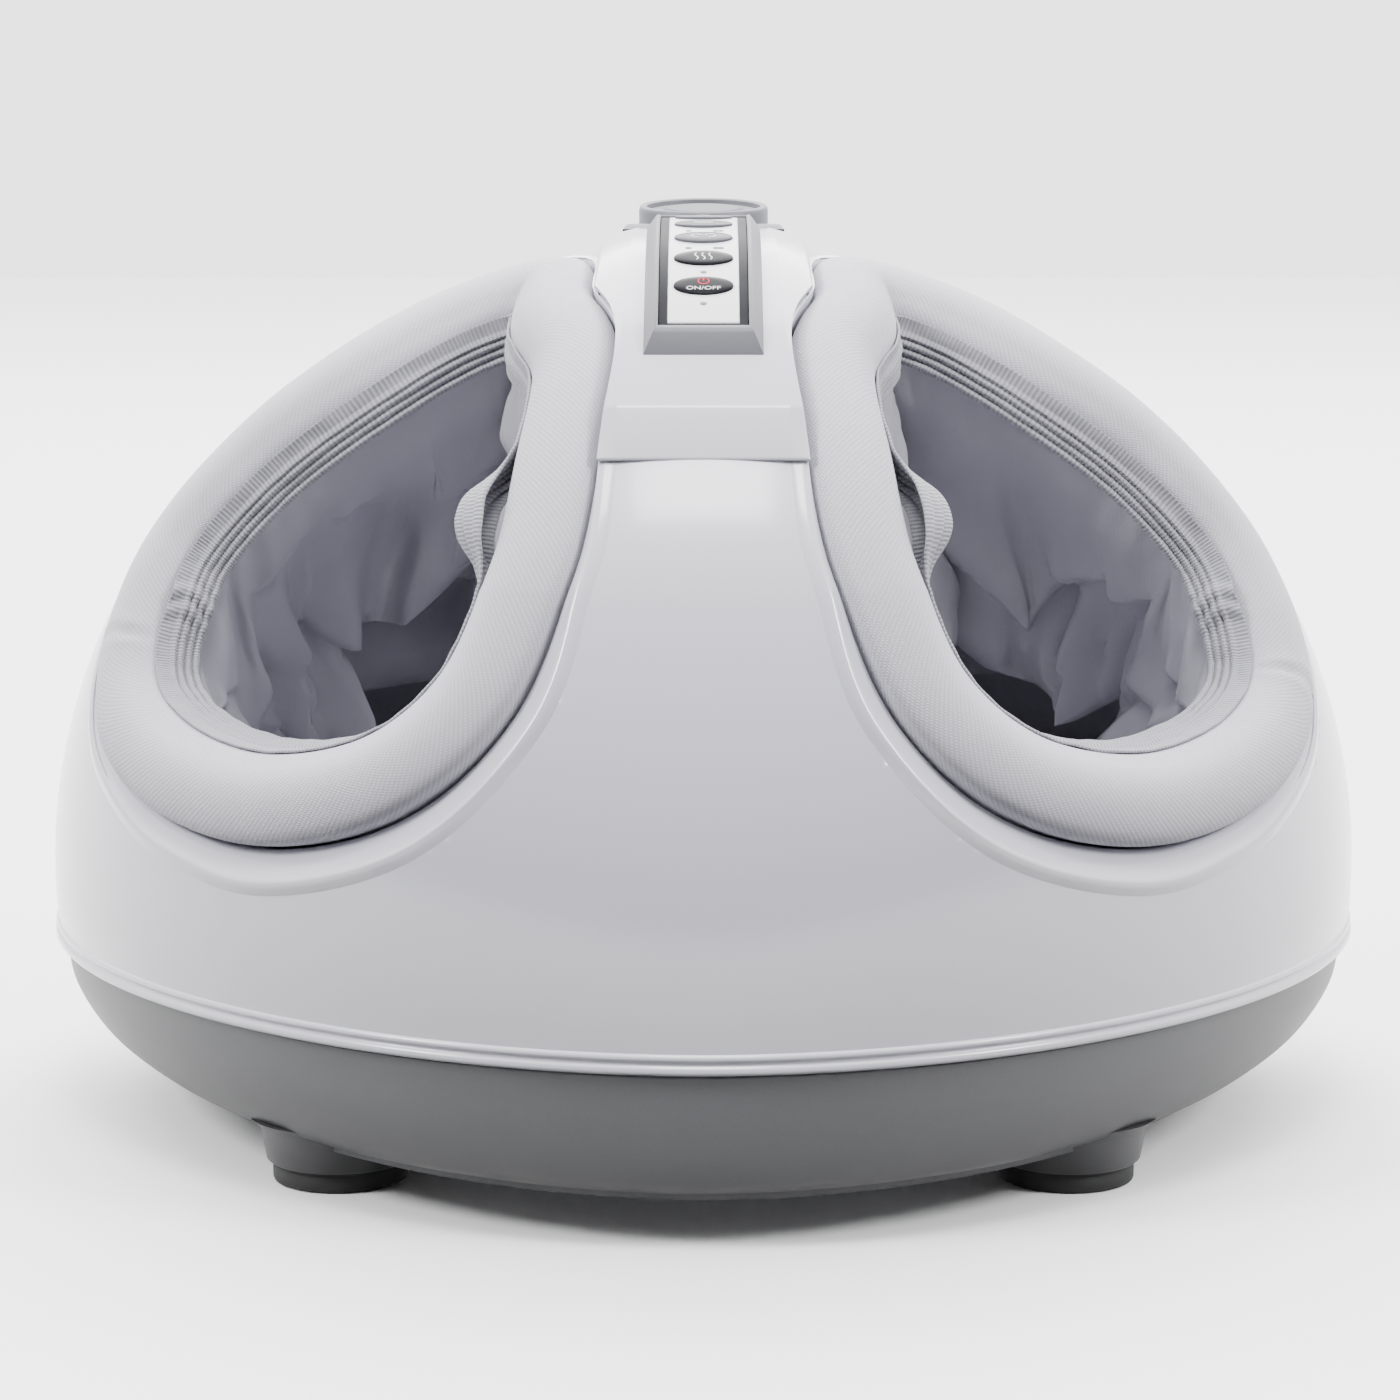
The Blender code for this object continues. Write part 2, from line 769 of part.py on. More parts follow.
def tray_shares(level):
    """The tray's shares of the outline at the seam, at a level."""
    share = (level - TRAY_FLOOR) / (SEAM_LEVEL - TRAY_FLOOR)
    rows = TRAY_OUTLINE_SHARES
    for high, low in zip(rows, rows[1:]):
        if share >= low[0]:
            t = (share - low[0]) / (high[0] - low[0])
            return low[1] + (high[1] - low[1]) * t, low[2] + (high[2] - low[2]) * t
    return rows[-1][1], rows[-1][2]


def tray_end(level, inset, way):
    """Where the tray ends, less an inset, in front (way -1) or behind (way 1)."""
    scale = math.cos(math.asin((SEAM_LEVEL - WIDEST_LEVEL) / DOME_RISE))
    reach = plan_reach(SEAM_LEVEL, way) * scale * tray_shares(level)[1]
    return plan_shift(SEAM_LEVEL) + way * (reach - inset)


def foot_places():
    return [
        (end + "_" + side_name, side * FOOT_SPREAD_X, way * FOOT_SPREAD_Y)
        for end, way in (("front", -1), ("rear", 1))
        for side_name, side in SIDES
    ]


def make_base_tray():
    outer = []
    inner = []
    for height, share_x, share_y in reversed(TRAY_OUTLINE_SHARES):
        outer.append([(x, y, tray_level(height)) for x, y in tray_outline(share_x, share_y)])
    middle = (SEAM_LEVEL + TRAY_FLOOR) / 2
    for level in (TRAY_FLOOR + TRAY_WALL, middle, SEAM_LEVEL, SEAM_LEVEL + TRAY_WALL):
        shares = tray_shares(min(level, SEAM_LEVEL))
        inner.append([(x, y, level) for x, y in tray_outline(*shares, TRAY_WALL, INNER_SEGMENTS)])
    tray = add_object("base_tray", loft(outer), "tray_grey")
    boolean(tray, add_object("cutter_tray", loft(inner), "tray_grey"))
    boss_bottom = FOOT_PAD_HEIGHT + CLEARANCE
    for name, x, y in foot_places():
        profile = (
            (FOOT_BOSS_BOTTOM_RADIUS, boss_bottom),
            (FOOT_BOSS_TOP_RADIUS, TRAY_FLOOR + TRAY_WALL / 2),
        )
        boss = turned(profile, (x, y, 0), FOOT_SEGMENTS)
        boolean(tray, add_object("join_boss_" + name, boss, "tray_grey"), "UNION")
    profile = (
        (DECK_BOSS_RADIUS, TRAY_FLOOR + TRAY_WALL / 2),
        (DECK_BOSS_RADIUS, DECK_BOTTOM - CLEARANCE),
    )
    bosses = gathered([turned(profile, (x, y, 0), SMALL_SEGMENTS) for x, y in deck_bosses()])
    boolean(tray, add_object("join_deck_bosses", bosses, "tray_grey"), "UNION")
    slots = []
    for _, side in SIDES:
        for i in range(VENT_COUNT):
            x = side * (VENT_FIRST_X + i * VENT_PITCH)
            slots.append(box((VENT_WIDTH, OVERRUN * 2, VENT_HEIGHT), (x, HOUSING_DEPTH / 2, VENT_LEVEL)))
    boolean(tray, add_object("cutter_vents", gathered(slots), "tray_grey"))
    gap = CLEARANCE * 2
    hole = box(
        (INLET_WIDTH + gap, OVERRUN, INLET_HEIGHT + gap), (0, HOUSING_DEPTH / 2, INLET_LEVEL)
    )
    boolean(tray, add_object("cutter_inlet", hole, "tray_grey"))


def deck_bosses():
    return [(x * DECK_BOSS_X, y * DECK_BOSS_Y) for x in (-1, 0, 1) for y in (-1, 1)]


def make_bottom_plate():
    outline = tray_outline(TRAY_OUTLINE_SHARES[-1][1], TRAY_OUTLINE_SHARES[-1][2], PLATE_INSET)
    top = TRAY_FLOOR - CLEARANCE
    cover = add_object(
        "bottom_plate", plate(outline, [], top - PLATE_THICKNESS, top), "plate_grey", smooth=False
    )
    for name, x, y in foot_places():
        radius = FOOT_BOSS_TOP_RADIUS + CLEARANCE
        notch = turned(((radius, 0), (radius, OVERRUN)), (x, y, 0), FOOT_SEGMENTS)
        boolean(cover, add_object("cutter_notch_" + name, notch, "plate_grey"))


def make_feet():
    for name, x, y in foot_places():
        pad = turned(
            (
                (FOOT_PAD_RADIUS - FOOT_PAD_BEVEL, 0),
                (FOOT_PAD_RADIUS, FOOT_PAD_BEVEL),
                (FOOT_PAD_RADIUS, FOOT_PAD_HEIGHT),
            ),
            (x, y, 0), FOOT_SEGMENTS,
        )
        add_object("rubber_foot_" + name, pad, "rubber_black")


def inlet_back():
    wall = tray_end(INLET_LEVEL + INLET_HEIGHT / 2 + INLET_FLANGE, 0, 1)
    return wall + CLEARANCE + INLET_FLANGE_THICKNESS


def make_power_inlet():
    back = inlet_back()
    flange = box(
        (INLET_WIDTH + INLET_FLANGE * 2, INLET_FLANGE_THICKNESS, INLET_HEIGHT + INLET_FLANGE * 2),
        (0, back - INLET_FLANGE_THICKNESS / 2, INLET_LEVEL),
    )
    inlet = add_object("power_inlet", flange, "inlay_black", smooth=False)
    length = INLET_DEPTH + INLET_FLANGE_THICKNESS / 2
    body = box(
        (INLET_WIDTH, length, INLET_HEIGHT),
        (0, back - INLET_FLANGE_THICKNESS / 2 - length / 2, INLET_LEVEL),
    )
    boolean(inlet, add_object("join_inlet", body, "inlay_black", smooth=False), "UNION")
    cavity = box(
        (INLET_CAVITY_WIDTH, INLET_CAVITY_DEPTH * 2, INLET_CAVITY_HEIGHT),
        (0, back, INLET_LEVEL),
    )
    boolean(inlet, add_object("cutter_socket", cavity, "inlay_black", smooth=False))


# Padded rings, bands and pockets
def make_ring_pieces(side_name, side):
    frames = ring_frames(side, RING_SAMPLES)
    cushion = []
    for across, height in CUSHION_SECTION_SHARES:
        reach = CUSHION_OUTER_REACH if across > 0 else CUSHION_INNER_REACH
        rise = CUSHION_CROWN if height > 0 else CUSHION_DEPTH
        cushion.append((across * reach, height * rise))
    add_object("ring_cushion_" + side_name, ring_body(frames, cushion), "ring_fabric")
    top = -CUSHION_DEPTH - RING_FRAME_GAP
    bottom = top - RING_FRAME_THICKNESS
    section = (
        (-RING_FRAME_INNER, bottom),
        (RING_FRAME_OUTER, bottom),
        (RING_FRAME_OUTER, top),
        (-RING_FRAME_INNER, top),
    )
    add_object("ring_frame_" + side_name, ring_body(frames, section), "inner_plastic")


def make_band(side_name, side):
    """A strip just inside the cushion, ribbed on the face towards the foot."""
    outer = CUSHION_INNER_REACH + CLEARANCE
    section = [(-outer - BAND_SLANT, -BAND_DROP), (-outer, -BAND_TOP)]
    steps = BAND_RIBS * 2
    for i in range(steps + 1):
        share = i / steps
        proud = BAND_RIB_PROUD if i % 2 else 0
        across = -outer - BAND_THICKNESS - BAND_SLANT * share - proud
        section.append((across, -BAND_TOP - (BAND_DROP - BAND_TOP) * share))
    body = ring_body(ring_frames(side, RING_SAMPLES), section)
    add_object("ribbed_band_" + side_name, body, "band_fabric")


def cubic(a, b, c, d, t):
    u = 1 - t
    return a * u**3 + b * (3 * u * u * t) + c * (3 * u * t * t) + d * t**3


def sole_size():
    """Middle and half sizes of a pocket's floor, between the spine and the housing's walls."""
    outer = HOUSING_WIDTH / 2 - LINER_SIDE_MARGIN
    front = -HOUSING_DEPTH / 2 + LINER_FRONT_MARGIN
    rear = HOUSING_DEPTH / 2 - LINER_REAR_MARGIN
    return (
        (outer + LINER_SPINE_MARGIN) / 2,
        (front + rear) / 2,
        (outer - LINER_SPINE_MARGIN) / 2,
        (rear - front) / 2,
    )


def liner_grid(side):
    """Rows of points from the rim of one pocket down to the middle of its floor."""
    frames = ring_frames(side, RING_SAMPLES)
    middle_x, middle_y, half_width, half_length = sole_size()
    centre = Vector((side * middle_x, middle_y, LINER_FLOOR_LEVEL))
    turn_y = opening_centre().y + RING_HALF_HEIGHT * LINER_TURN_SHARE
    offset = RING_FRAME_INNER + CLEARANCE * 2
    depth = CUSHION_DEPTH + CLEARANCE * 2
    rim = [p - out * offset - up * depth for p, out, up in frames]
    neck = [p - out * offset - up * (depth + LINER_NECK) for p, out, up in frames]
    floor = []
    for point in rim:
        reach_x = (point.x - centre.x) / half_width
        reach_y = (point.y - turn_y) / half_length
        angle = math.atan2(reach_y, reach_x)
        shape = 2 / LINER_FLOOR_POWER
        floor.append(
            centre
            + Vector(
                (
                    half_width * signed_power(math.cos(angle), shape),
                    half_length * signed_power(math.sin(angle), shape),
                    0,
                )
            )
        )
    grid = [rim]
    for k in range(LINER_LEVELS + 1):
        t = k / LINER_LEVELS
        row = []
        for j, (p, out, up) in enumerate(frames):
            start = neck[j]
            end = floor[j]
            down = start - up * LINER_FIRST_PULL
            above = Vector((end.x, end.y, end.z + (start.z - end.z) * LINER_DROP_SHARE))
            point = cubic(start, down, above, end, t)
            turn = 2 * math.pi * j / RING_SAMPLES
            fold = LINER_FOLD_DEPTH * math.sin(math.pi * t) * math.sin(LINER_FOLD_COUNT * turn)
            inward = (centre - point) * Vector((1, 1, 0))
            row.append(point + inward.normalized() * fold)
        grid.append(row)
    grid.append([centre + (point - centre) * LINER_SOLE_SHARE for point in floor])
    return grid, centre


def make_liner(side_name, side):
    """A pocket of even thickness: the outer sheet, a sheet set inward from it, and a hem joining the two."""
    grid, centre = liner_grid(side)
    rows = len(grid)
    count = RING_SAMPLES
    inner = []
    for k in range(rows):
        row = []
        for j in range(count):
            if k > LINER_LEVELS + 1:
                normal = Vector((0, 0, 1))
            else:
                along = grid[k][(j + 1) % count] - grid[k][j - 1]
                down = grid[min(k + 1, rows - 1)][j] - grid[max(k - 1, 0)][j]
                normal = along.cross(down).normalized() * -side
            row.append(grid[k][j] + normal * LINER_WALL)
        inner.append(row)
    bm = bmesh.new()
    sheets = []
    for sheet, lift in ((grid, 0), (inner, LINER_WALL)):
        rings = [[bm.verts.new(point) for point in row] for row in sheet]
        for low, high in zip(rings, rings[1:]):
            for j in range(count):
                k = (j + 1) % count
                bm.faces.new((low[j], low[k], high[k], high[j]))
        middle = bm.verts.new(centre + Vector((0, 0, lift)))
        for j in range(count):
            bm.faces.new((rings[-1][j], rings[-1][(j + 1) % count], middle))
        sheets.append(rings[0])
    for j in range(count):
        k = (j + 1) % count
        bm.faces.new((sheets[0][j], sheets[0][k], sheets[1][k], sheets[1][j]))
    add_object("foot_liner_" + side_name, bm, "liner_fabric")


# Console
def console_section(share):
    span = CONSOLE_END - CONSOLE_START
    ramp = CONSOLE_END_RAMP / span
    risen = min(share / ramp, (1 - share) / ramp, 1)
    low = POD_RISE + CLEARANCE
    top = low + CONSOLE_TOE + (CONSOLE_HEIGHT - CONSOLE_TOE) * risen
    shoulder = CONSOLE_SHOULDER * risen
    return (
        (-CONSOLE_HALF_WIDTH, low),
        (CONSOLE_HALF_WIDTH, low),
        (CONSOLE_HALF_WIDTH - shoulder, top),
        (-CONSOLE_HALF_WIDTH + shoulder, top),
    )


def label_lift():
    """Height of the label's face above the dome's profile."""
    return inlay_floor() + LABEL_THICKNESS


def inlay_floor():
    return POD_RISE + CLEARANCE + RECESS_FLOOR + CLEARANCE


def button_angles():
    return [BUTTON_FIRST + BUTTON_PITCH * i for i in range(len(BUTTON_NAMES))]


def button_body(angle, grow, bottom, top, crown=0.0):
    """An oval stud square to the spine at an angle."""
    base = spine_point(angle)
    up = spine_normal(angle)
    along = Vector((1, 0, 0)).cross(up).normalized()
    rings = []
    levels = [(bottom, 1.0), (top, 1.0)]
    if crown:
        levels = [(bottom, 1.0), (top - crown, 1.0), (top, BUTTON_TOP_SHARE)]
    for lift, share in levels:
        ring = []
        for x, y in circle(1, BUTTON_SEGMENTS):
            across = x * (BUTTON_HALF_WIDTH + grow) * share
            forward = y * (BUTTON_HALF_LENGTH + grow) * share
            ring.append(base + Vector((across, 0, 0)) + along * forward + up * lift)
        rings.append(ring)
    return loft(rings)


def make_console():
    bezel = add_object(
        "console_bezel", spine_body(CONSOLE_START, CONSOLE_END, CONSOLE_STEPS * 2, console_section),
        "silver_trim",
    )
    low = POD_RISE + CLEARANCE + RECESS_FLOOR
    gap_angle = CLEARANCE / DOME_RISE
    recess = spine_body(
        LABEL_START - INLAY_MARGIN - gap_angle, LABEL_END + INLAY_MARGIN + gap_angle, CONSOLE_STEPS,
        lambda share: strip_section(INLAY_HALF_WIDTH + CLEARANCE, low, low + CONSOLE_HEIGHT * 2),
    )
    boolean(bezel, add_object("cutter_recess", recess, "silver_trim"))
    window = spine_body(
        LABEL_START + INLAY_MARGIN, LABEL_END - INLAY_MARGIN, CONSOLE_STEPS,
        lambda share: strip_section(LABEL_HALF_WIDTH - LABEL_REST, 0, low + CONSOLE_HEIGHT),
    )
    boolean(bezel, add_object("cutter_bezel_window", window, "silver_trim"))
    floor = inlay_floor()
    inlay = add_object(
        "console_inlay",
        spine_body(
            LABEL_START - INLAY_MARGIN, LABEL_END + INLAY_MARGIN, CONSOLE_STEPS,
            lambda share: strip_section(INLAY_HALF_WIDTH, floor, floor + INLAY_THICKNESS),
        ),
        "inlay_black",
    )
    frame_window = spine_body(
        LABEL_START - gap_angle, LABEL_END + gap_angle, CONSOLE_STEPS,
        lambda share: strip_section(LABEL_HALF_WIDTH + CLEARANCE, 0, low + CONSOLE_HEIGHT),
    )
    boolean(inlay, add_object("cutter_inlay_window", frame_window, "inlay_black"))
    label = add_object(
        "console_label",
        spine_body(
            LABEL_START, LABEL_END, CONSOLE_STEPS,
            lambda share: strip_section(LABEL_HALF_WIDTH, floor, floor + LABEL_THICKNESS),
        ),
        "label_white",
    )
    for name, angle in zip(BUTTON_NAMES, button_angles()):
        hole = add_object(
            "cutter_" + name, button_body(angle, BUTTON_GAP, 0.0, CONSOLE_HEIGHT * 4), "inlay_black"
        )
        boolean(label, hole)
        top = label_lift() + BUTTON_PROUD
        finish = "button_black" if name == BUTTON_NAMES[0] else "button_grey"
        cap = add_object(
            name, button_body(angle, 0.0, top - BUTTON_STEM, top, BUTTON_PROUD / 2), finish
        )
        move_origin(cap, spine_point(angle))
    board = spine_body(
        WINDOW_START + gap_angle * 4, WINDOW_END - gap_angle * 4, CONSOLE_STEPS,
        lambda share: strip_section(BOARD_HALF_WIDTH, POD_RISE - BOARD_THICKNESS, POD_RISE),
    )
    add_object("control_board", board, "board_green")


def crown_seat_radius():
    return CROWN_RADIUS + CLEARANCE * 2


def crown_y():
    """The crown's middle, a margin behind the end of the console."""
    return spine_point(CONSOLE_END).y + CROWN_MARGIN + crown_seat_radius()


def crown_level():
    """Level of the crown's middle plane, over the pod at its own place."""
    return spine_level(crown_y()) + POD_RISE + CLEARANCE + CROWN_STAND


def make_crown():
    """A round cap with a raised rim and a disc set into it, tipped a little forward."""
    ring = add_object(
        "crown_ring",
        turned(
            (
                (CROWN_RADIUS, -CROWN_HEIGHT),
                (CROWN_RADIUS, CROWN_HEIGHT - CROWN_RIM / 3),
                (CROWN_RADIUS - CROWN_RIM / 3, CROWN_HEIGHT),
                (CROWN_RADIUS - CROWN_RIM, CROWN_HEIGHT),
                (CROWN_RADIUS - CROWN_RIM, CROWN_HEIGHT - CROWN_RECESS),
            ),
            segments=CROWN_SEGMENTS,
        ),
        "silver_trim",
    )
    disc_radius = CROWN_RADIUS - CROWN_RIM - CLEARANCE
    disc_bottom = CROWN_HEIGHT - CROWN_RECESS + CLEARANCE
    disc = add_object(
        "crown_disc",
        turned(
            (
                (disc_radius, disc_bottom),
                (disc_radius, disc_bottom + CROWN_DISC_THICKNESS / 2),
                (disc_radius * DISC_STEP_SHARES[0], disc_bottom + CROWN_DISC_THICKNESS / 2),
                (disc_radius * DISC_STEP_SHARES[1], disc_bottom + CROWN_DISC_THICKNESS),
            ),
            segments=CROWN_SEGMENTS,
        ),
        "silver_trim",
    )
    for piece in (ring, disc):
        piece.location = (0, crown_y(), crown_level())
        piece.rotation_euler = (CROWN_TILT, 0, 0)
    below = spine_body(
        POD_START, POD_END, POD_STEPS,
        lambda share: strip_section(POD_HALF_WIDTH_LOW, -OVERRUN, POD_RISE + CLEARANCE),
    )
    boolean(ring, add_object("cutter_below_crown", below, "silver_trim"))
    trim_start = CONSOLE_END + CLEARANCE * 2 / DOME_RISE
    trim_end = spine_angle(crown_y() + crown_seat_radius() + TRIM_MARGIN)
    seat = crown_seat_radius()
    hollow = turned(((seat, -OVERRUN), (seat, OVERRUN)), segments=CROWN_SEGMENTS)
    seat = add_object("cutter_crown_seat", hollow, "silver_trim")
    seat.location = ring.location
    seat.rotation_euler = ring.rotation_euler
    trim = add_object(
        "back_trim",
        spine_body(
            trim_start, trim_end, CONSOLE_STEPS,
            lambda share: strip_section(
                TRIM_HALF_WIDTH, POD_RISE + CLEARANCE, POD_RISE + CLEARANCE + TRIM_THICKNESS
            ),
        ),
        "silver_trim",
    )
    boolean(trim, seat)


# Kneading drive
def gear_outline(teeth, module, phase, centre=(0, 0), turn=0.0):
    """Trapezoid teeth round a centre, the first one at the phase angle."""
    pitch_radius = module * teeth / 2
    pitch = math.pi * module
    corners = (
        (pitch_radius - DEDENDUM_SHARE * module, -TOOTH_ROOT_SHARE),
        (pitch_radius + ADDENDUM_SHARE * module, -TOOTH_TIP_SHARE),
        (pitch_radius + ADDENDUM_SHARE * module, TOOTH_TIP_SHARE),
        (pitch_radius - DEDENDUM_SHARE * module, TOOTH_ROOT_SHARE),
    )
    points = []
    for k in range(teeth):
        for radius, half in corners:
            angle = phase + turn + 2 * math.pi * k / teeth + half * pitch / 2 / pitch_radius
            points.append((centre[0] + radius * math.cos(angle), centre[1] + radius * math.sin(angle)))
    return points


def wheel_distance():
    return WORM_PITCH_RADIUS + WORM_MODULE * WHEEL_TEETH / 2


def kneading_x():
    return wheel_distance() + GEAR_MODULE * (PINION_TEETH + KNEADING_TEETH) / 2


def kneading_y():
    return GEAR_MODULE * KNEADING_TEETH / 2


def deck_top():
    return DECK_BOTTOM + DECK_THICKNESS


def make_gear_posts(deck):
    """Bosses and posts that the gears turn on, moulded on the deck."""
    posts = []
    for _, side in SIDES:
        for x, y, top in (
            (wheel_distance(), -kneading_y(), WORM_LEVEL + WHEEL_FACE / 2),
            (kneading_x(), -kneading_y(), HEAD_BOTTOM - GEAR_SEAT),
            (kneading_x(), kneading_y(), HEAD_BOTTOM - GEAR_SEAT),
        ):
            seat = deck_top() + GEAR_SEAT
            profile = (
                (BOSS_RADIUS, DECK_BOTTOM + DECK_THICKNESS / 2),
                (BOSS_RADIUS, seat),
                (POST_RADIUS, seat),
                (POST_RADIUS, top),
            )
            posts.append(turned(profile, (side * x, y, 0), SMALL_SEGMENTS))
    boolean(deck, add_object("join_posts", gathered(posts), "inner_plastic"), "UNION")


def bearing_middle():
    return -kneading_y() - worm_length() / 2 - BEARING_LENGTH


def make_deck():
    outline = tray_outline(*tray_shares(DECK_BOTTOM), TRAY_WALL + DECK_INSET)
    deck = add_object("gear_deck", plate(outline, [], DECK_BOTTOM, deck_top()), "inner_plastic", smooth=False)
    make_gear_posts(deck)
    bearing_y = bearing_middle()
    blocks = (
        ("bearing", BEARING_WIDTH, BEARING_LENGTH, bearing_y, WORM_LEVEL + BEARING_TOP_MARGIN),
        ("cradle", CRADLE_WIDTH, CRADLE_LENGTH, MOTOR_START + MOTOR_LENGTH / 2, WORM_LEVEL),
    )
    for name, across, along, y, top in blocks:
        bottom = DECK_BOTTOM + DECK_THICKNESS / 2
        block = box((across, along, top - bottom), (0, y, (top + bottom) / 2))
        boolean(deck, add_object("join_" + name, block, "inner_plastic", smooth=False), "UNION")
    for name, radius, start, length in (
        ("motor", MOTOR_RADIUS + CLEARANCE, MOTOR_START - CLEARANCE, MOTOR_LENGTH),
        ("shaft", MOTOR_SHAFT_RADIUS + CLEARANCE, bearing_y - BEARING_LENGTH, BEARING_LENGTH * 3),
    ):
        bore = along_y(radius, start, start + length + CLEARANCE * 2)
        boolean(deck, add_object("cutter_" + name, bore, "inner_plastic"))


def along_y(radius, start, end, segments=ROUND_SEGMENTS):
    """A cylinder on the worm's axis."""
    rings = []
    for y in (start, end):
        rings.append([(px, y, WORM_LEVEL + pz) for px, pz in circle(radius, segments)])
    return loft(rings)


def worm_length():
    return WORM_TURNS * math.pi * WORM_MODULE * WORM_STARTS


def make_worm():
    """A two-start worm swept as a screw, trimmed square and joined to its shaft."""
    lead = math.pi * WORM_MODULE * WORM_STARTS
    pitch = math.pi * WORM_MODULE
    root = WORM_PITCH_RADIUS - DEDENDUM_SHARE * WORM_MODULE
    crest = WORM_PITCH_RADIUS + ADDENDUM_SHARE * WORM_MODULE
    segments = WORM_SEGMENTS
    thread = []
    count = round(WORM_TURNS + 2) * WORM_STARTS
    for k in range(count):
        middle = -kneading_y() + pitch * (k - count / 2)
        thread += [
            (root, middle - TOOTH_ROOT_SHARE * pitch / 2),
            (crest, middle - TOOTH_TIP_SHARE * pitch / 2),
            (crest, middle + TOOTH_TIP_SHARE * pitch / 2),
            (root, middle + TOOTH_ROOT_SHARE * pitch / 2),
        ]
    bm = bmesh.new()
    columns = []
    for j in range(segments + 1):
        angle = 2 * math.pi * j / segments
        shift = lead * j / segments
        columns.append(
            [
                bm.verts.new(
                    (radius * math.sin(angle), y + shift - lead / 2, WORM_LEVEL + radius * math.cos(angle))
                )
                for radius, y in thread
            ]
        )
    rows = len(thread)
    skip = 4 * WORM_STARTS
    for j in range(segments):
        near = columns[j]
        far = columns[j + 1] if j + 1 < segments else None
        for k in range(rows - 1):
            if far:
                bm.faces.new((near[k], near[k + 1], far[k + 1], far[k]))
            elif k + 1 + skip < rows:
                bm.faces.new((near[k], near[k + 1], columns[0][k + 1 + skip], columns[0][k + skip]))
    for vertex in columns[-1]:
        bm.verts.remove(vertex)
    ends = [edge for edge in bm.edges if len(edge.link_faces) == 1]
    bmesh.ops.holes_fill(bm, edges=ends, sides=0)
    bmesh.ops.triangulate(bm, faces=[face for face in bm.faces if len(face.verts) > 4])
    body = add_object("drive_worm", bm, "steel")
    half = worm_length() / 2
    envelope = along_y(crest * 2, -kneading_y() - half, -kneading_y() + half)
    boolean(body, add_object("keep_worm", envelope, "steel"), "INTERSECT")
    shaft_start = -kneading_y() - half - BEARING_LENGTH * 2
    shaft = along_y(MOTOR_SHAFT_RADIUS, shaft_start, MOTOR_START - CLEARANCE, SMALL_SEGMENTS)
    boolean(body, add_object("join_shaft", shaft, "steel"), "UNION")
    move_origin(body, (0, -kneading_y(), WORM_LEVEL))


def make_compound_wheel(side_name, side):
    """A pinion below and a worm wheel above on one hub."""
    x = side * wheel_distance()
    y = -kneading_y()
    bottom = deck_top() + GEAR_SEAT + CLEARANCE
    outward = 0.0 if side > 0 else math.pi
    bore = [(x + px, y + py) for px, py in circle(BORE_RADIUS, SMALL_SEGMENTS)]
    pinion = plate(
        gear_outline(PINION_TEETH, GEAR_MODULE, outward, (x, y)), [bore], bottom, bottom + GEAR_FACE
    )
    body = add_object("worm_wheel_" + side_name, pinion, "gear_nylon", smooth=False)
    low = WORM_LEVEL - WHEEL_FACE / 2
    lead = math.pi * WORM_MODULE * WORM_STARTS
    lean = lead * math.asin(WHEEL_FACE / 2 / WORM_PITCH_RADIUS) / (2 * math.pi)
    lean = lean / (WORM_MODULE * WHEEL_TEETH / 2)
    rings = []
    for level, turn in ((low, -lean), (low + WHEEL_FACE, lean)):
        outline = gear_outline(WHEEL_TEETH, WORM_MODULE, outward + math.pi, (x, y), turn)
        rings.append([(px, py, level) for px, py in outline])
    wheel = add_object("join_wheel_" + side_name, loft(rings), "gear_nylon", smooth=False)
    boolean(body, wheel, "UNION")
    hub_bottom = bottom + GEAR_FACE / 2
    hub = turned(
        ((WHEEL_HUB_RADIUS, hub_bottom), (WHEEL_HUB_RADIUS, WORM_LEVEL)), (x, y, 0), ROUND_SEGMENTS
    )
    boolean(body, add_object("join_hub_" + side_name, hub, "gear_nylon"), "UNION")
    hole = turned(((BORE_RADIUS, 0), (BORE_RADIUS, OVERRUN * 3)), (x, y, 0), SMALL_SEGMENTS)
    boolean(body, add_object("cutter_hub_" + side_name, hole, "gear_nylon"))
    move_origin(body, (x, y, WORM_LEVEL))


def make_kneading_gear(name, x, y, phase):
    bottom = deck_top() + GEAR_SEAT + CLEARANCE
    outline = gear_outline(KNEADING_TEETH, GEAR_MODULE, phase, (x, y))
    bore = [(x + px, y + py) for px, py in circle(BORE_RADIUS, SMALL_SEGMENTS)]
    body = add_object(
        "kneading_gear_" + name, plate(outline, [bore], bottom, bottom + GEAR_FACE), "gear_nylon", smooth=False
    )
    hub = turned(
        ((HUB_RADIUS, bottom + GEAR_FACE / 2), (HUB_RADIUS, HEAD_BOTTOM - CLEARANCE)),
        (x, y, 0), SMALL_SEGMENTS,
    )
    boolean(body, add_object("join_gear_hub_" + name, hub, "gear_nylon"), "UNION")
    hole = turned(((BORE_RADIUS, 0), (BORE_RADIUS, OVERRUN * 3)), (x, y, 0), SMALL_SEGMENTS)
    boolean(body, add_object("cutter_gear_" + name, hole, "gear_nylon"))
    move_origin(body, (x, y, bottom))


def head_height(x, y):
    """Height of a kneading head's face: a low dome with three rounded nodes."""
    top = HEAD_DISC * (1 - HEAD_FALL_SHARE * (x * x + y * y) / HEAD_RADIUS**2)
    for k in range(HEAD_NODE_COUNT):
        angle = 2 * math.pi * k / HEAD_NODE_COUNT
        dx = x - HEAD_NODE_ORBIT * math.cos(angle)
        dy = y - HEAD_NODE_ORBIT * math.sin(angle)
        reach = (dx * dx + dy * dy) / HEAD_NODE_RADIUS**2
        if reach < 1:
            top = max(top, HEAD_DISC * HEAD_NODE_ROOT_SHARE + HEAD_NODE_RISE * math.sqrt(1 - reach))
    return top


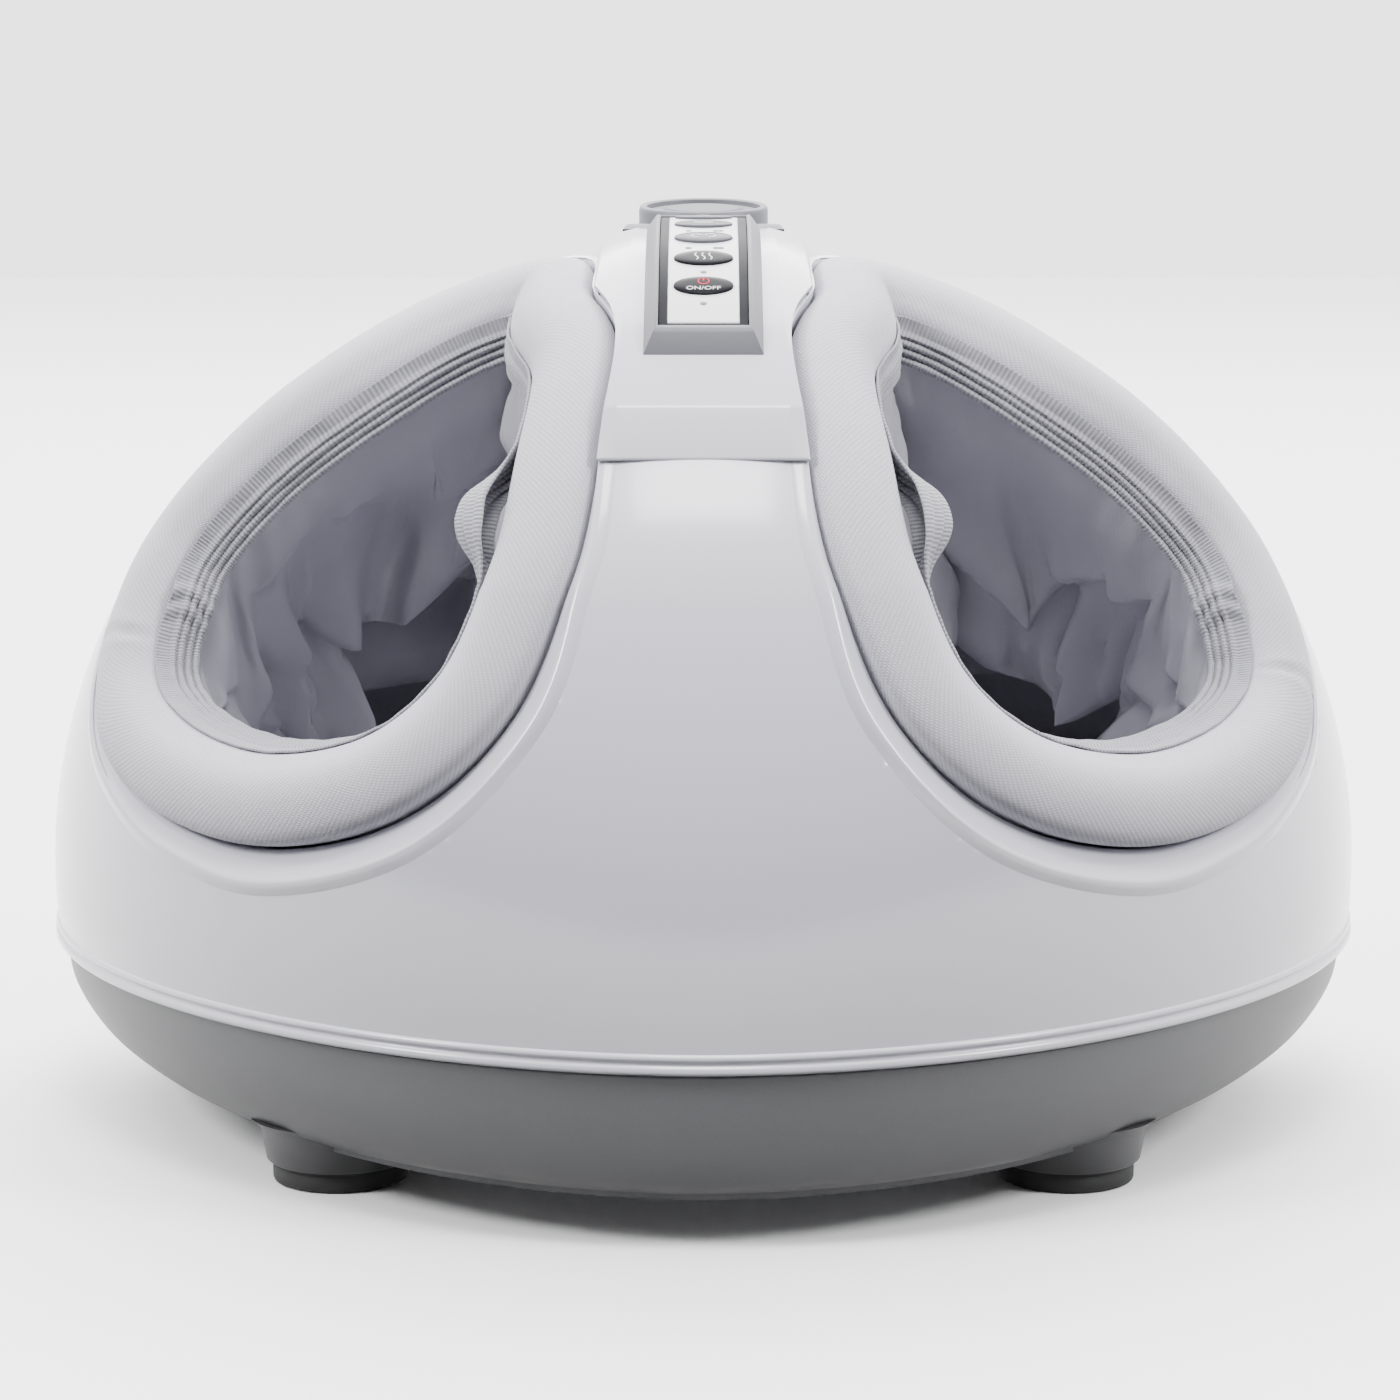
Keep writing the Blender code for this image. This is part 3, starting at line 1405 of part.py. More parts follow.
def make_kneading_head(name, x, y):
    rings = []
    for k in range(HEAD_RINGS + 1):
        radius = HEAD_RADIUS * (1 - k / (HEAD_RINGS + 1))
        ring = []
        for px, py in circle(radius, HEAD_SEGMENTS):
            ring.append((x + px, y + py, HEAD_BOTTOM + head_height(px, py)))
        rings.append(ring)
    foot = circle(HEAD_RADIUS * HEAD_FOOT_SHARE, HEAD_SEGMENTS)
    base = [(x + px, y + py, HEAD_BOTTOM) for px, py in foot]
    body = add_object("kneading_head_" + name, loft([base, *rings]), "inner_plastic")
    move_origin(body, (x, y, HEAD_BOTTOM))


def make_massage_plate(side_name, side):
    x0 = side * kneading_x()
    corner = MASSAGE_PLATE_CORNER
    outline = []
    for cx, cy, start in ((1, 1, 0), (-1, 1, 1), (-1, -1, 2), (1, -1, 3)):
        for i in range(5):
            angle = math.pi / 2 * (start + i / 4)
            px = cx * (MASSAGE_PLATE_HALF_WIDTH - corner) + corner * math.cos(angle)
            py = cy * (MASSAGE_PLATE_HALF_LENGTH - corner) + corner * math.sin(angle)
            outline.append((x0 + px, py))
    holes = []
    for way in (-1, 1):
        ring = circle(HEAD_RADIUS + MASSAGE_PLATE_GAP, ROUND_SEGMENTS)
        holes.append([(x0 + px, way * kneading_y() + py) for px, py in ring])
    body = add_object(
        "massage_plate_" + side_name,
        plate(outline, holes, PLATE_LEVEL, PLATE_LEVEL + MASSAGE_PLATE_THICKNESS),
        "inner_plastic", smooth=False,
    )
    profile = (
        (PILLAR_RADIUS, deck_top() + CLEARANCE),
        (PILLAR_RADIUS, PLATE_LEVEL + MASSAGE_PLATE_THICKNESS / 2),
    )
    pillars = []
    for px, py in CORNERS:
        foot = (x0 + px * PILLAR_SPREAD_X, py * PILLAR_SPREAD_Y, 0)
        pillars.append(turned(profile, foot, SMALL_SEGMENTS))
    boolean(body, add_object("join_pillars_" + side_name, gathered(pillars), "inner_plastic"), "UNION")


def make_drive():
    make_deck()
    make_worm()
    motor = along_y(MOTOR_RADIUS, MOTOR_START, MOTOR_START + MOTOR_LENGTH)
    add_object("drive_motor", motor, "steel")
    half_tooth = math.pi / KNEADING_TEETH
    for side_name, side in SIDES:
        make_compound_wheel(side_name, side)
        inward = math.pi if side > 0 else 0.0
        for end, way in (("front", -1), ("rear", 1)):
            name = "%s_%s" % (end, side_name)
            x = side * kneading_x()
            y = way * kneading_y()
            phase = inward + half_tooth
            if way > 0:
                phase = -math.pi / 2 + half_tooth
            make_kneading_gear(name, x, y, phase)
            make_kneading_head(name, x, y)
        make_massage_plate(side_name, side)


# Air system and electronics
def make_block(name, size, centre, finish):
    return add_object(name, bevelled(box(size, centre), BODY_BEVEL), finish, smooth=False)


def supply_y():
    """The supply's middle, just in front of the inlet's body."""
    inlet_front = inlet_back() - INLET_FLANGE_THICKNESS - INLET_DEPTH
    return inlet_front - SUPPLY_GAP - SUPPLY_LENGTH / 2


def pump_y():
    """The pump's middle, just in front of the supply."""
    return supply_y() - SUPPLY_LENGTH / 2 - PUMP_GAP - PUMP_LENGTH / 2


def make_inner_units():
    floor = deck_top() + CLEARANCE
    make_block(
        "power_supply", (SUPPLY_WIDTH, SUPPLY_LENGTH, SUPPLY_HEIGHT),
        (0, supply_y(), floor + SUPPLY_HEIGHT / 2), "steel",
    )
    make_main_board(floor)
    make_air_pump(floor)


def make_main_board(floor):
    """A board on spacers, in the room between the worm's bearing and the front of the deck."""
    front = tray_end(DECK_BOTTOM, TRAY_WALL + DECK_INSET, -1) + MAIN_BOARD_FRONT_MARGIN
    rear = bearing_middle() - BEARING_LENGTH - MAIN_BOARD_REAR_MARGIN
    length = rear - front
    middle = (front + rear) / 2
    body = add_object(
        "main_board",
        box((MAIN_BOARD_WIDTH, length, MAIN_BOARD_THICKNESS), (0, middle, MAIN_BOARD_LEVEL)),
        "board_green", smooth=False,
    )
    spacers = []
    for px, py in CORNERS:
        x = px * (MAIN_BOARD_WIDTH / 2 - SPACER_INSET)
        y = middle + py * (length / 2 - SPACER_INSET)
        profile = ((SPACER_RADIUS, floor), (SPACER_RADIUS, MAIN_BOARD_LEVEL))
        spacers.append(turned(profile, (x, y, 0), SMALL_SEGMENTS))
    boolean(body, add_object("join_spacers", gathered(spacers), "board_green"), "UNION")


def make_air_pump(floor):
    """A pump on four legs over the motor, with its valve block against the front face."""
    body = make_block(
        "air_pump", (PUMP_WIDTH, PUMP_LENGTH, PUMP_HEIGHT), (0, pump_y(), PUMP_LEVEL), "inner_plastic"
    )
    bottom = PUMP_LEVEL - PUMP_HEIGHT / 2
    top = bottom + BODY_BEVEL * 2
    legs = []
    for px, py in CORNERS:
        x = px * (PUMP_WIDTH - PUMP_LEG) / 2
        y = pump_y() + py * (PUMP_LENGTH / 2 - PUMP_LEG)
        legs.append(box((PUMP_LEG, PUMP_LEG, top - floor), (x, y, (floor + top) / 2)))
    boolean(body, add_object("join_legs", gathered(legs), "inner_plastic", smooth=False), "UNION")
    front = pump_y() - PUMP_LENGTH / 2 - CLEARANCE
    make_block(
        "air_valve", (VALVE_WIDTH, VALVE_LENGTH, VALVE_HEIGHT), (0, front - VALVE_LENGTH / 2, PUMP_LEVEL),
        "inner_plastic",
    )


def bag_profile():
    """(share of the outline, distance from the middle plane) of each ring of a bag, from back to front."""
    rows = []
    for k in range(BAG_RINGS + 1):
        angle = math.pi / 2 * (2 * k / BAG_RINGS - 1) * BAG_EDGE_SHARE
        fullness = math.sin(angle) / math.sin(math.pi / 2 * BAG_EDGE_SHARE)
        rows.append((math.cos(angle) ** (2 / BAG_POWER), BAG_HALF_THICKNESS * fullness))
    return rows


def bag_bulge(y, z):
    """How far a bag stands from its middle plane at a place in its outline, or None outside it."""
    along = abs(y - BAG_Y) / BAG_HALF_LENGTH
    high = abs(z - BAG_LEVEL) / BAG_HALF_HEIGHT
    spread = (along**BAG_POWER + high**BAG_POWER) ** (1 / BAG_POWER)
    front = bag_profile()[BAG_RINGS // 2:]
    if spread >= front[0][0]:
        return None
    for wide, narrow in zip(front, front[1:]):
        if spread >= narrow[0]:
            t = (wide[0] - spread) / (wide[0] - narrow[0])
            return wide[1] + (narrow[1] - wide[1]) * t
    return BAG_HALF_THICKNESS


def make_air_bag(name, side, way):
    """A flat pillow that just clears the pocket's wall; way is +1 outside the foot and -1 inside it."""
    grid, _ = liner_grid(side)
    middle_x = sole_size()[0]
    reach = 0
    for upper, lower in zip(grid, grid[1:]):
        for j in range(RING_SAMPLES):
            for s, t in ((0, 0), (0.5, 0), (0, 0.5), (0.5, 0.5)):
                near = upper[j].lerp(upper[j - 1], s)
                point = near.lerp(lower[j].lerp(lower[j - 1], s), t)
                bulge = bag_bulge(point.y, point.z)
                if bulge is not None:
                    reach = max(reach, (side * point.x - middle_x) * way + bulge)
    x = side * (middle_x + way * (reach + BAG_GAP))
    rings = []
    for share, across in bag_profile():
        ring = []
        for py, pz in circle(1, BAG_SEGMENTS):
            along = BAG_HALF_LENGTH * share * signed_power(py, 2 / BAG_POWER)
            high = BAG_HALF_HEIGHT * share * signed_power(pz, 2 / BAG_POWER)
            ring.append((x + across, BAG_Y + along, BAG_LEVEL + high))
        rings.append(ring)
    add_object(name, loft(rings), "bag_film")


def make_air_bags():
    for side_name, side in SIDES:
        make_air_bag("outer_air_bag_" + side_name, side, 1)
        make_air_bag("inner_air_bag_" + side_name, side, -1)


def main():
    clear_scene()
    make_upper_shell()
    make_base_tray()
    make_bottom_plate()
    make_feet()
    make_power_inlet()
    for side_name, side in SIDES:
        make_ring_pieces(side_name, side)
        make_band(side_name, side)
        make_liner(side_name, side)
    make_console()
    make_crown()
    make_drive()
    make_inner_units()
    make_air_bags()


main()
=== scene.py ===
"""Foot massager: the finished look of the housing, padded rings, foot pockets, console and feet."""

import math

import bmesh
import bpy
from bpy.props import FloatProperty, FloatVectorProperty, IntProperty, PointerProperty
from mathutils import Matrix, Vector, kdtree, noise


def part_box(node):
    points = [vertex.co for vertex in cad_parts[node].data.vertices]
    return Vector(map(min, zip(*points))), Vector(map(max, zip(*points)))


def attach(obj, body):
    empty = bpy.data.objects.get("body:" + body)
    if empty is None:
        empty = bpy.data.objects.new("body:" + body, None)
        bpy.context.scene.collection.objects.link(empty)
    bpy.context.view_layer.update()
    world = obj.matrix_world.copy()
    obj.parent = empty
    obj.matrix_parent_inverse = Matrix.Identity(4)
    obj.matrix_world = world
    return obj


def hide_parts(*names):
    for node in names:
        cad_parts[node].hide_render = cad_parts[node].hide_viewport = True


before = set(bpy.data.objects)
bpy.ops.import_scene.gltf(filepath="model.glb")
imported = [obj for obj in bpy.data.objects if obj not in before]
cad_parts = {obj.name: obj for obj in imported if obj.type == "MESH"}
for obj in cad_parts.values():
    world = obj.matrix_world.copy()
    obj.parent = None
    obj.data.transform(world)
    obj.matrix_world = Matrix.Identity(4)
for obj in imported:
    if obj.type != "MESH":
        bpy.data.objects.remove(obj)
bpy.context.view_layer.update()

bl_info = {
    "name": "Foot Massager",
    "version": (1, 0, 0),
    "blender": (4, 5, 0),
    "location": "View3D > Sidebar > Massager",
    "description": "Builds the visible pieces of a domed foot massager over its packed model",
    "category": "Object",
}

SIDES = (("left", -1), ("right", 1))
BUTTONS = ("power", "heat", "massage", "air", "timer")

# Openings: where they lie on the dome, as shares of its half sizes, and the outline of the rings round them
OPENING_FACING = Vector((-0.52, -0.60, 0.61)).normalized()
OPENING_SHARES = (-0.4883, -0.4725, 0.576)
OPENING_HALF_WIDTH = 0.084
OPENING_HALF_HEIGHT = 0.097
RING_SHARES = (
    (-0.91, -0.01), (-0.79, 0.40), (-0.59, 0.78), (-0.29, 0.99), (-0.05, 1.18), (0.21, 1.02), (0.48, 0.66),
    (0.84, 0.28), (1.05, -0.08), (0.97, -0.55), (0.59, -0.80), (0.01, -0.89), (-0.53, -0.76), (-0.85, -0.45),
)

# Section of a padded ring, as (outward, up) from its line on the dome
RING_SECTION = (
    (0.0148, -0.0138), (0.0164, -0.0095), (0.0165, -0.0035), (0.0148, 0.0001), (0.0108, 0.0018),
    (0.0055, 0.0025), (0.0005, 0.0021), (-0.0042, 0.0004), (-0.0081, -0.0027), (-0.0107, -0.0064),
    (-0.0118, -0.0102), (-0.0112, -0.0134), (-0.0075, -0.0140), (0.0040, -0.0140),
)
RING_GIRTH = 0.56
RING_SEAMS = {-1: 0.585, 1: 0.612}
SLOT_GAP = 0.0009
RIM_WIDTH_SHARES = (0.30, 0.05, 0.04, 0.04, 0.04, 0.04, 0.04, 0.05, 0.10, 0.30, 0.70, 1.00, 1.00, 0.75)
FULL_RIM = 0.0085

# Lip along the shell's lower edge, as (proud, up) from the seam: a rim, a groove and a ridge over it
LIP_SECTION = (
    (-0.0016, 0.0003), (0.0009, 0.0003), (0.0015, 0.0007), (0.0017, 0.0014), (0.0016, 0.0023),
    (0.0012, 0.0029), (0.0006, 0.0033), (0.0002, 0.0037), (0.0002, 0.0041), (0.0006, 0.0045),
    (0.0010, 0.0051), (0.0010, 0.0057), (0.0006, 0.0063), (-0.0002, 0.0069), (-0.0016, 0.0069),
)

# Raised spine: angles up the dome's side profile, in degrees, and half widths
POD_ANGLES = (46.0, 51.0, 116.0, 122.0)
POD_NARROW_ANGLE = 95.0
POD_HALF_WIDTHS = (0.0360, 0.0330)
POD_CREASES = (0.0264, 0.0215)
POD_WALL = 0.0015

# Tray: (height, width, depth) shares from its floor up to the seam
TRAY_SHARES = (
    (0.00, 0.855, 0.962), (0.09, 0.892, 0.976), (0.32, 0.945, 0.988), (0.66, 0.982, 0.995),
    (1.00, 0.990, 0.995),
)
TRAY_FLOOR = 0.018
TRAY_WALL = 0.003
REAR_HOLES_LEVEL = 0.040
VENT_HOLE = (0.004, 0.06, 0.014)
VENT_START, VENT_PITCH = 0.050, 0.009
INLET_HOLE = (0.0266, 0.05, 0.0186)
PLATE_TOP = 0.0177
PLATE_THICKNESS = 0.003

# Feet, as (radius, level) of their round bodies
FOOT_SPREAD = (0.116, 0.090)
BOSS_SECTION = (
    (0.0, 0.0068), (0.0228, 0.0068), (0.0235, 0.0075), (0.0253, 0.0175), (0.0262, 0.0190), (0.0290, 0.0215),
    (0.0, 0.0215),
)
PAD_SECTION = (
    (0.0, 0.0012), (0.0040, 0.0012), (0.0052, 0.0), (0.0203, 0.0), (0.0212, 0.0004), (0.0215, 0.0012),
    (0.0215, 0.0052), (0.0212, 0.0058), (0.0219, 0.0060), (0.0219, 0.0065), (0.0, 0.0065),
)
SCREW_SECTION = (
    (0.0, 0.0008), (0.0008, 0.0008), (0.0010, 0.0004), (0.0026, 0.0004), (0.0031, 0.0009), (0.0031, 0.0014),
    (0.0, 0.0014),
)

# Elastic bands: shares of the way round where a band is gathered, and where it puffs out beside the spine
BAND_RIBS = 4
BAND_GATHERS = (0.262, 0.560)
BAND_GATHER_WIDTH = 0.016
BAND_PUFF = 0.034
BAND_TOP = 0.0090
BAND_HEIGHT = 0.0142

# Foot pockets: hem and neck, as how far inside and below the ring's line they lie, the sole, and the folds
# of each wall as (share of the way round, half width, share of the way down, height, depth, slant)
HEM_PLACE = (0.0116, 0.0150)
NECK_PLACE = (0.0118, 0.0206)
SOLE_HALF = (0.0595, 0.112)
SOLE_CENTRE = (0.111, 0.004, 0.0905)
POCKET_FOLDS = {
    -1: (
        (0.34, 0.10, 0.43, 0.085, 0.016, 0.30), (0.46, 0.070, 0.60, 0.085, 0.025, -0.25),
        (0.405, 0.040, 0.68, 0.080, 0.022, 0.0), (0.545, 0.055, 0.77, 0.13, 0.031, 0.25),
        (0.24, 0.060, 0.60, 0.16, 0.020, 0.5), (0.63, 0.050, 0.60, 0.22, 0.014, 0.4),
        (0.12, 0.050, 0.45, 0.22, 0.012, 0.0), (0.86, 0.060, 0.60, 0.22, 0.010, 0.3),
        (0.29, 0.050, 0.24, 0.12, 0.010, 0.9),
    ),
    1: (
        (0.31, 0.09, 0.40, 0.09, 0.016, -0.35), (0.41, 0.060, 0.58, 0.085, 0.024, 0.30),
        (0.35, 0.040, 0.70, 0.090, 0.020, 0.0), (0.50, 0.050, 0.74, 0.12, 0.030, -0.2),
        (0.58, 0.045, 0.60, 0.16, 0.020, -0.5), (0.20, 0.055, 0.62, 0.18, 0.018, 0.5),
        (0.10, 0.050, 0.50, 0.22, 0.012, 0.2), (0.88, 0.060, 0.55, 0.22, 0.010, -0.3),
        (0.44, 0.060, 0.25, 0.12, 0.010, -0.8),
    ),
}
POCKET_SEAMS = {-1: 0.46, 1: 0.41}
CLOTH_SETTINGS = {
    "quality": 5, "mass": 0.12, "tension_stiffness": 12, "compression_stiffness": 12, "shear_stiffness": 6,
    "bending_stiffness": 1.2, "shrink_min": -0.06,
}
CLOTH_FRAMES = 16
CLOTH_REACH = 0.005
CLOTH_THICKNESS = 0.0008

# Console: angles up the spine's side profile, lifts off the dome, and the lamps as (button, across)
CONSOLE_END = math.radians(95.0)
LABEL_START, LABEL_END = math.radians(60.6), math.radians(93.6)
LABEL_HALF_WIDTH = 0.0111
FACE_LIFT = 0.0074
BEZEL_HALF_WIDTH = 0.0141
BEZEL_RISE = 0.0042
BEZEL_BARS = (2.05, 0.85)
BUTTON_START, BUTTON_PITCH = 66.5, 5.6
BUTTON_PROUD = 0.0008
SYMBOL_PROUD = 0.00103
BUTTON_HALF = (0.0094, 0.0052)
BUTTON_SECTION = (
    (0.0, -0.0028), (1.0, -0.0028), (1.0, -0.0004), (0.985, -0.00015), (0.93, 0.0), (0.6, 0.00012),
    (0.0, 0.00018),
)
INDICATOR_OVER, INDICATOR_UNDER = 2.75, 2.9
INDICATORS = (
    (-1, 0.0), (0, 0.0), (1, -0.0048), (1, 0.0040), (1, 0.0056), (2, -0.0048), (2, 0.0040), (2, 0.0056),
)
BORDER_SECTION = (
    (0.0, FACE_LIFT - 0.0010), (0.0, FACE_LIFT - 0.0001), (0.0003, FACE_LIFT), (0.0026, FACE_LIFT),
    (0.0028, FACE_LIFT - 0.0002), (0.0028, FACE_LIFT - 0.0010),
)

# Crown and the trim that it stands in
CROWN_HEIGHT = 0.0085
CROWN_TILT = 5.0
CROWN_TILT_RISE = 0.0019
CROWN_SECTION = (
    (0.0, -0.006), (0.0220, -0.006), (0.0220, 0.0068), (0.0217, 0.0080), (0.0211, 0.0085), (0.0200, 0.0085),
    (0.0194, 0.0081), (0.0190, 0.0063), (0.0, 0.0061),
)
CROWN_FACE_SECTION = (
    (0.0, 0.0061), (0.0187, 0.0061), (0.0187, 0.0066), (0.0180, 0.0069), (0.0140, 0.0069), (0.0136, 0.0066),
    (0.0132, 0.0066), (0.0128, 0.0073), (0.0122, 0.0077), (0.0, 0.0078),
)
TRIM_SECTION = (
    (-1.0, 0.0), (-0.975, 0.0012), (-0.95, 0.0020), (-0.90, 0.0022), (0.0, 0.0023), (0.90, 0.0022),
    (0.95, 0.0020), (0.975, 0.0012), (1.0, 0.0),
)
TRIM_HALF_WIDTH = 0.0272

# Studio: the direction of the bright side of the sky, how its light spreads from there, and the lamps as
# (name, place, aim, size, power)
SKY_BRIGHT_SIDE = (0.0, 0.75, 0.66)
SKY_SPREAD = {"From Min": -0.32, "From Max": 0.60, "To Min": 0.02, "To Max": 3.0}
STUDIO = (
    ("left", (-1.8, -0.9, 1.6), (0, 0, 0.15), (0.6, 0.6), 60),
    ("right", (1.8, -0.9, 1.5), (0, 0, 0.15), (0.6, 0.6), 54),
    ("front", (0, -1.0, 2.7), (0, 0, 0.1), (0.9, 0.6), 44),
    ("top", (0, 2.2, 2.6), (0, 0.7, 0), (5.0, 2.6), 270),
    ("back", (0, 5.2, 3.0), (0, 5.2, 0), (9.0, 3.0), 250),
)
CAMERA_PLACE = (0, -1.2857, 0.3422)
CAMERA_DOWN = 8.94
CAMERA_LENS = 99.2
CAMERA_SHIFT = -0.0025


# Sizes and colours that a user would change

def length(name, default, description):
    return FloatProperty(name=name, description=description, default=default, unit="LENGTH")


def colour(name, default, description):
    return FloatVectorProperty(name=name, description=description, subtype="COLOR", size=3, default=default)


def segments(name, default, description):
    return IntProperty(name=name, description=description, default=default, subtype="UNSIGNED")


class MassagerSizes(bpy.types.PropertyGroup):
    width: length("Width", 0.4505, "Width of the dome at its widest")
    depth: length("Depth", 0.364, "Depth of the dome at its widest")
    widest: length("Widest level", 0.077, "Level of the widest outline")
    rise: length("Dome rise", 0.217, "Dome's height over its widest outline")
    seam: length("Seam level", 0.056, "Level of the joint of shell and tray")
    wall: length("Shell wall", 0.003, "Thickness of the shell")
    ring_half: length("Ring half width", 0.0165, "Half width of a padded ring")
    egg: length("Egg shift", 0.045, "How far behind the middle the plan is widest")
    rim_width: length("Rim width", 0.0090, "Widest part of the moulded rim round a ring")
    pod_rise: length("Spine rise", 0.004, "Height of the raised spine over the dome")
    weave: length("Weave pitch", 0.0014, "Distance between the weave's lines")


class MassagerColours(bpy.types.PropertyGroup):
    shell: colour("Shell", (0.60, 0.595, 0.665), "Glossy housing")
    tray: colour("Tray", (0.052, 0.052, 0.057), "Satin base tray")
    ring: colour("Ring cloth", (0.600, 0.591, 0.655), "Stretch cover of the rings")
    band: colour("Band", (0.350, 0.346, 0.390), "Ribbed elastic band")
    liner: colour("Pocket cloth", (0.430, 0.424, 0.480), "Satin lining of the pockets")
    silver: colour("Silver", (0.150, 0.150, 0.170), "Silver paint of the console and crown")
    glyph: colour("Power symbol", (0.60, 0.01, 0.03), "Symbol on the power button")


class MassagerDetail(bpy.types.PropertyGroup):
    around: segments("Dome segments", 240, "Segments round the dome")
    ring: segments("Ring segments", 264, "Segments round an opening")
    pocket: segments("Pocket segments", 176, "Segments round a foot pocket")


class MassagerSettings(bpy.types.PropertyGroup):
    sizes: PointerProperty(name="Sizes", description="Sizes of the pieces", type=MassagerSizes)
    colours: PointerProperty(name="Colours", description="Colours of the finishes", type=MassagerColours)
    detail: PointerProperty(name="Detail", description="Fineness of the meshes", type=MassagerDetail)


def sizes():
    return bpy.context.scene.massager.sizes


def colours():
    return bpy.context.scene.massager.colours


def detail():
    return bpy.context.scene.massager.detail


# Dome: the surface that shell, rings and console follow

def signed_power(value, power):
    return math.copysign(abs(value) ** power, value)


class Dome:
    """The dome's sizes, read once, with what is asked of its surface."""

    def __init__(self):
        s = sizes()
        self.half_x = s.width / 2
        self.half_y = s.depth / 2
        self.base = s.widest
        self.rise = s.rise
        self.seam = s.seam
        self.egg = s.egg

    def plan(self, level):
        """Half width, shift to the rear and power of the plan: an egg at the seam, an ellipse on top."""
        blend = min(max((level - self.seam) / 0.140, 0), 1)
        return self.half_x * (1 - 0.0233 * blend), self.egg * (1 - blend), 2 * (0.92 + 0.08 * blend)

    def value(self, p):
        half, shift, power = self.plan(p.z)
        along = p.y - shift
        reach = self.half_y + math.copysign(shift, -along)
        flat = abs(p.x / half) ** power + abs(along / reach) ** power
        high = (p.z - self.base) / self.rise
        return flat ** (2 / power) + high * high - 1

    def normal(self, p, step=0.0003):
        slopes = []
        for axis in range(3):
            shift = Vector()
            shift[axis] = step
            slopes.append(self.value(p + shift) - self.value(p - shift))
        return Vector(slopes).normalized()

    def meet(self, start, direction, reach=0.11):
        low, high = -reach, reach
        for _ in range(34):
            middle = (low + high) / 2
            if self.value(start + direction * middle) < 0:
                low = middle
            else:
                high = middle
        return start + direction * low

    def outline(self, turn, level, share_x, share_y, proud=0.0, height=None):
        """A point round a level's plan, at shares of its half sizes, at another height if one is given."""
        half, shift, power = self.plan(level)
        angle = 2 * math.pi * turn
        across, along = (signed_power(value, 2 / power) for value in (math.cos(angle), math.sin(angle)))
        reach = self.half_y + math.copysign(shift, -along)
        x = (half * share_x + proud) * across
        y = shift + (reach * share_y + proud) * along
        return Vector((x, y, level if height is None else height))

    def at(self, turn, angle):
        """A point of the dome by its turn round the plan and its angle up from the widest level."""
        scale = math.cos(angle)
        return self.outline(turn, self.base + self.rise * math.sin(angle), scale, scale)

    def seam_scale(self, level):
        return math.cos(math.asin((level - self.base) / self.rise))

    def spine(self, angle, across=0.0, lift=0.0):
        """A point over the side profile of the dome, from front (0) over the top to the back (pi)."""
        normal = Vector((0, -math.cos(angle) / self.half_y, math.sin(angle) / self.rise)).normalized()
        foot = Vector((across, -self.half_y * math.cos(angle), self.base + self.rise * math.sin(angle)))
        return foot + normal * lift

    def spine_up(self, angle):
        return (self.spine(angle, 0, 1) - self.spine(angle)).normalized()


def through(a, b, c, d, t):
    """A smooth curve from b to c, with a and d as the knots beside them."""
    return (b * 2 + (c - a) * t + (a * 2 - b * 5 + c * 4 - d) * t**2 + (b * 3 - a - c * 3 + d) * t**3) / 2


def closed_curve(knots, count, per_span=40):
    """Evenly spaced points on a smooth closed curve through a few knots."""
    dense = []
    for i in range(len(knots)):
        a, b, c, d = (knots[(i + k - 1) % len(knots)] for k in range(4))
        for s in range(per_span):
            t = s / per_span
            dense.append(through(a, b, c, d, t))
    lengths = [0.0]
    for i, point in enumerate(dense):
        lengths.append(lengths[-1] + (dense[(i + 1) % len(dense)] - point).length)
    points, k = [], 0
    for i in range(count):
        target = lengths[-1] * i / count
        while lengths[k + 1] < target:
            k += 1
        share = (target - lengths[k]) / (lengths[k + 1] - lengths[k])
        points.append(dense[k].lerp(dense[(k + 1) % len(dense)], share))
    return points


def mirrored(vector, side):
    return Vector((-side * vector.x, vector.y, vector.z))


def opening_centre(dome):
    across, along, high = OPENING_SHARES
    return Vector((dome.half_x * across, dome.half_y * along, dome.base + dome.rise * high))


def ring_frames(dome, side, count):
    """(point, outward, up) round one opening, on the dome's surface."""
    across_axis = OPENING_FACING.cross(Vector((0, 0, 1))).normalized()
    up_axis = across_axis.cross(OPENING_FACING).normalized()
    if up_axis.z < 0:
        up_axis.negate()
    knots = []
    for across, along in RING_SHARES:
        flat = opening_centre(dome) + across_axis * (across * OPENING_HALF_WIDTH)
        flat += up_axis * (along * OPENING_HALF_HEIGHT)
        knots.append(dome.meet(flat, OPENING_FACING))
    points = [dome.meet(point, OPENING_FACING) for point in closed_curve(knots, count)]
    middle = sum(points, Vector()) / count
    frames = []
    for i, point in enumerate(points):
        up = dome.normal(point)
        outward = (points[(i + 1) % count] - points[i - 1]).cross(up).normalized()
        if outward.dot(point - middle) < 0:
            outward.negate()
        frames.append((mirrored(point, side), mirrored(outward, side), mirrored(up, side)))
    return frames


def round_value(values, share):
    """A smooth value round a closed table, at a share of the way round."""
    place = share * len(values)
    i = int(place) % len(values)
    t = place - int(place)
    t = t * t * (3 - 2 * t)
    return values[i] + (values[(i + 1) % len(values)] - values[i]) * t


# Mesh helpers

def skin(across, along, place, size=(1.0, 1.0)):
    """A grid warped onto a surface: place(u, v) gives each corner, and the UV map is in metres."""
    bm = bmesh.new()
    bm.loops.layers.uv.new("cloth")
    bmesh.ops.create_grid(bm, x_segments=across, y_segments=along, size=1.0, calc_uvs=True)
    layer = bm.loops.layers.uv.active
    for vertex in bm.verts:
        u = round((vertex.co.x + 1) / 2 * across) / across
        v = round((vertex.co.y + 1) / 2 * along) / along
        vertex.co = place(u, v)
    for face in bm.faces:
        for loop in face.loops:
            loop[layer].uv.x *= size[0]
            loop[layer].uv.y *= size[1]
    bmesh.ops.remove_doubles(bm, verts=bm.verts, dist=1e-6)
    bmesh.ops.dissolve_degenerate(bm, edges=bm.edges, dist=1e-7)
    return bm


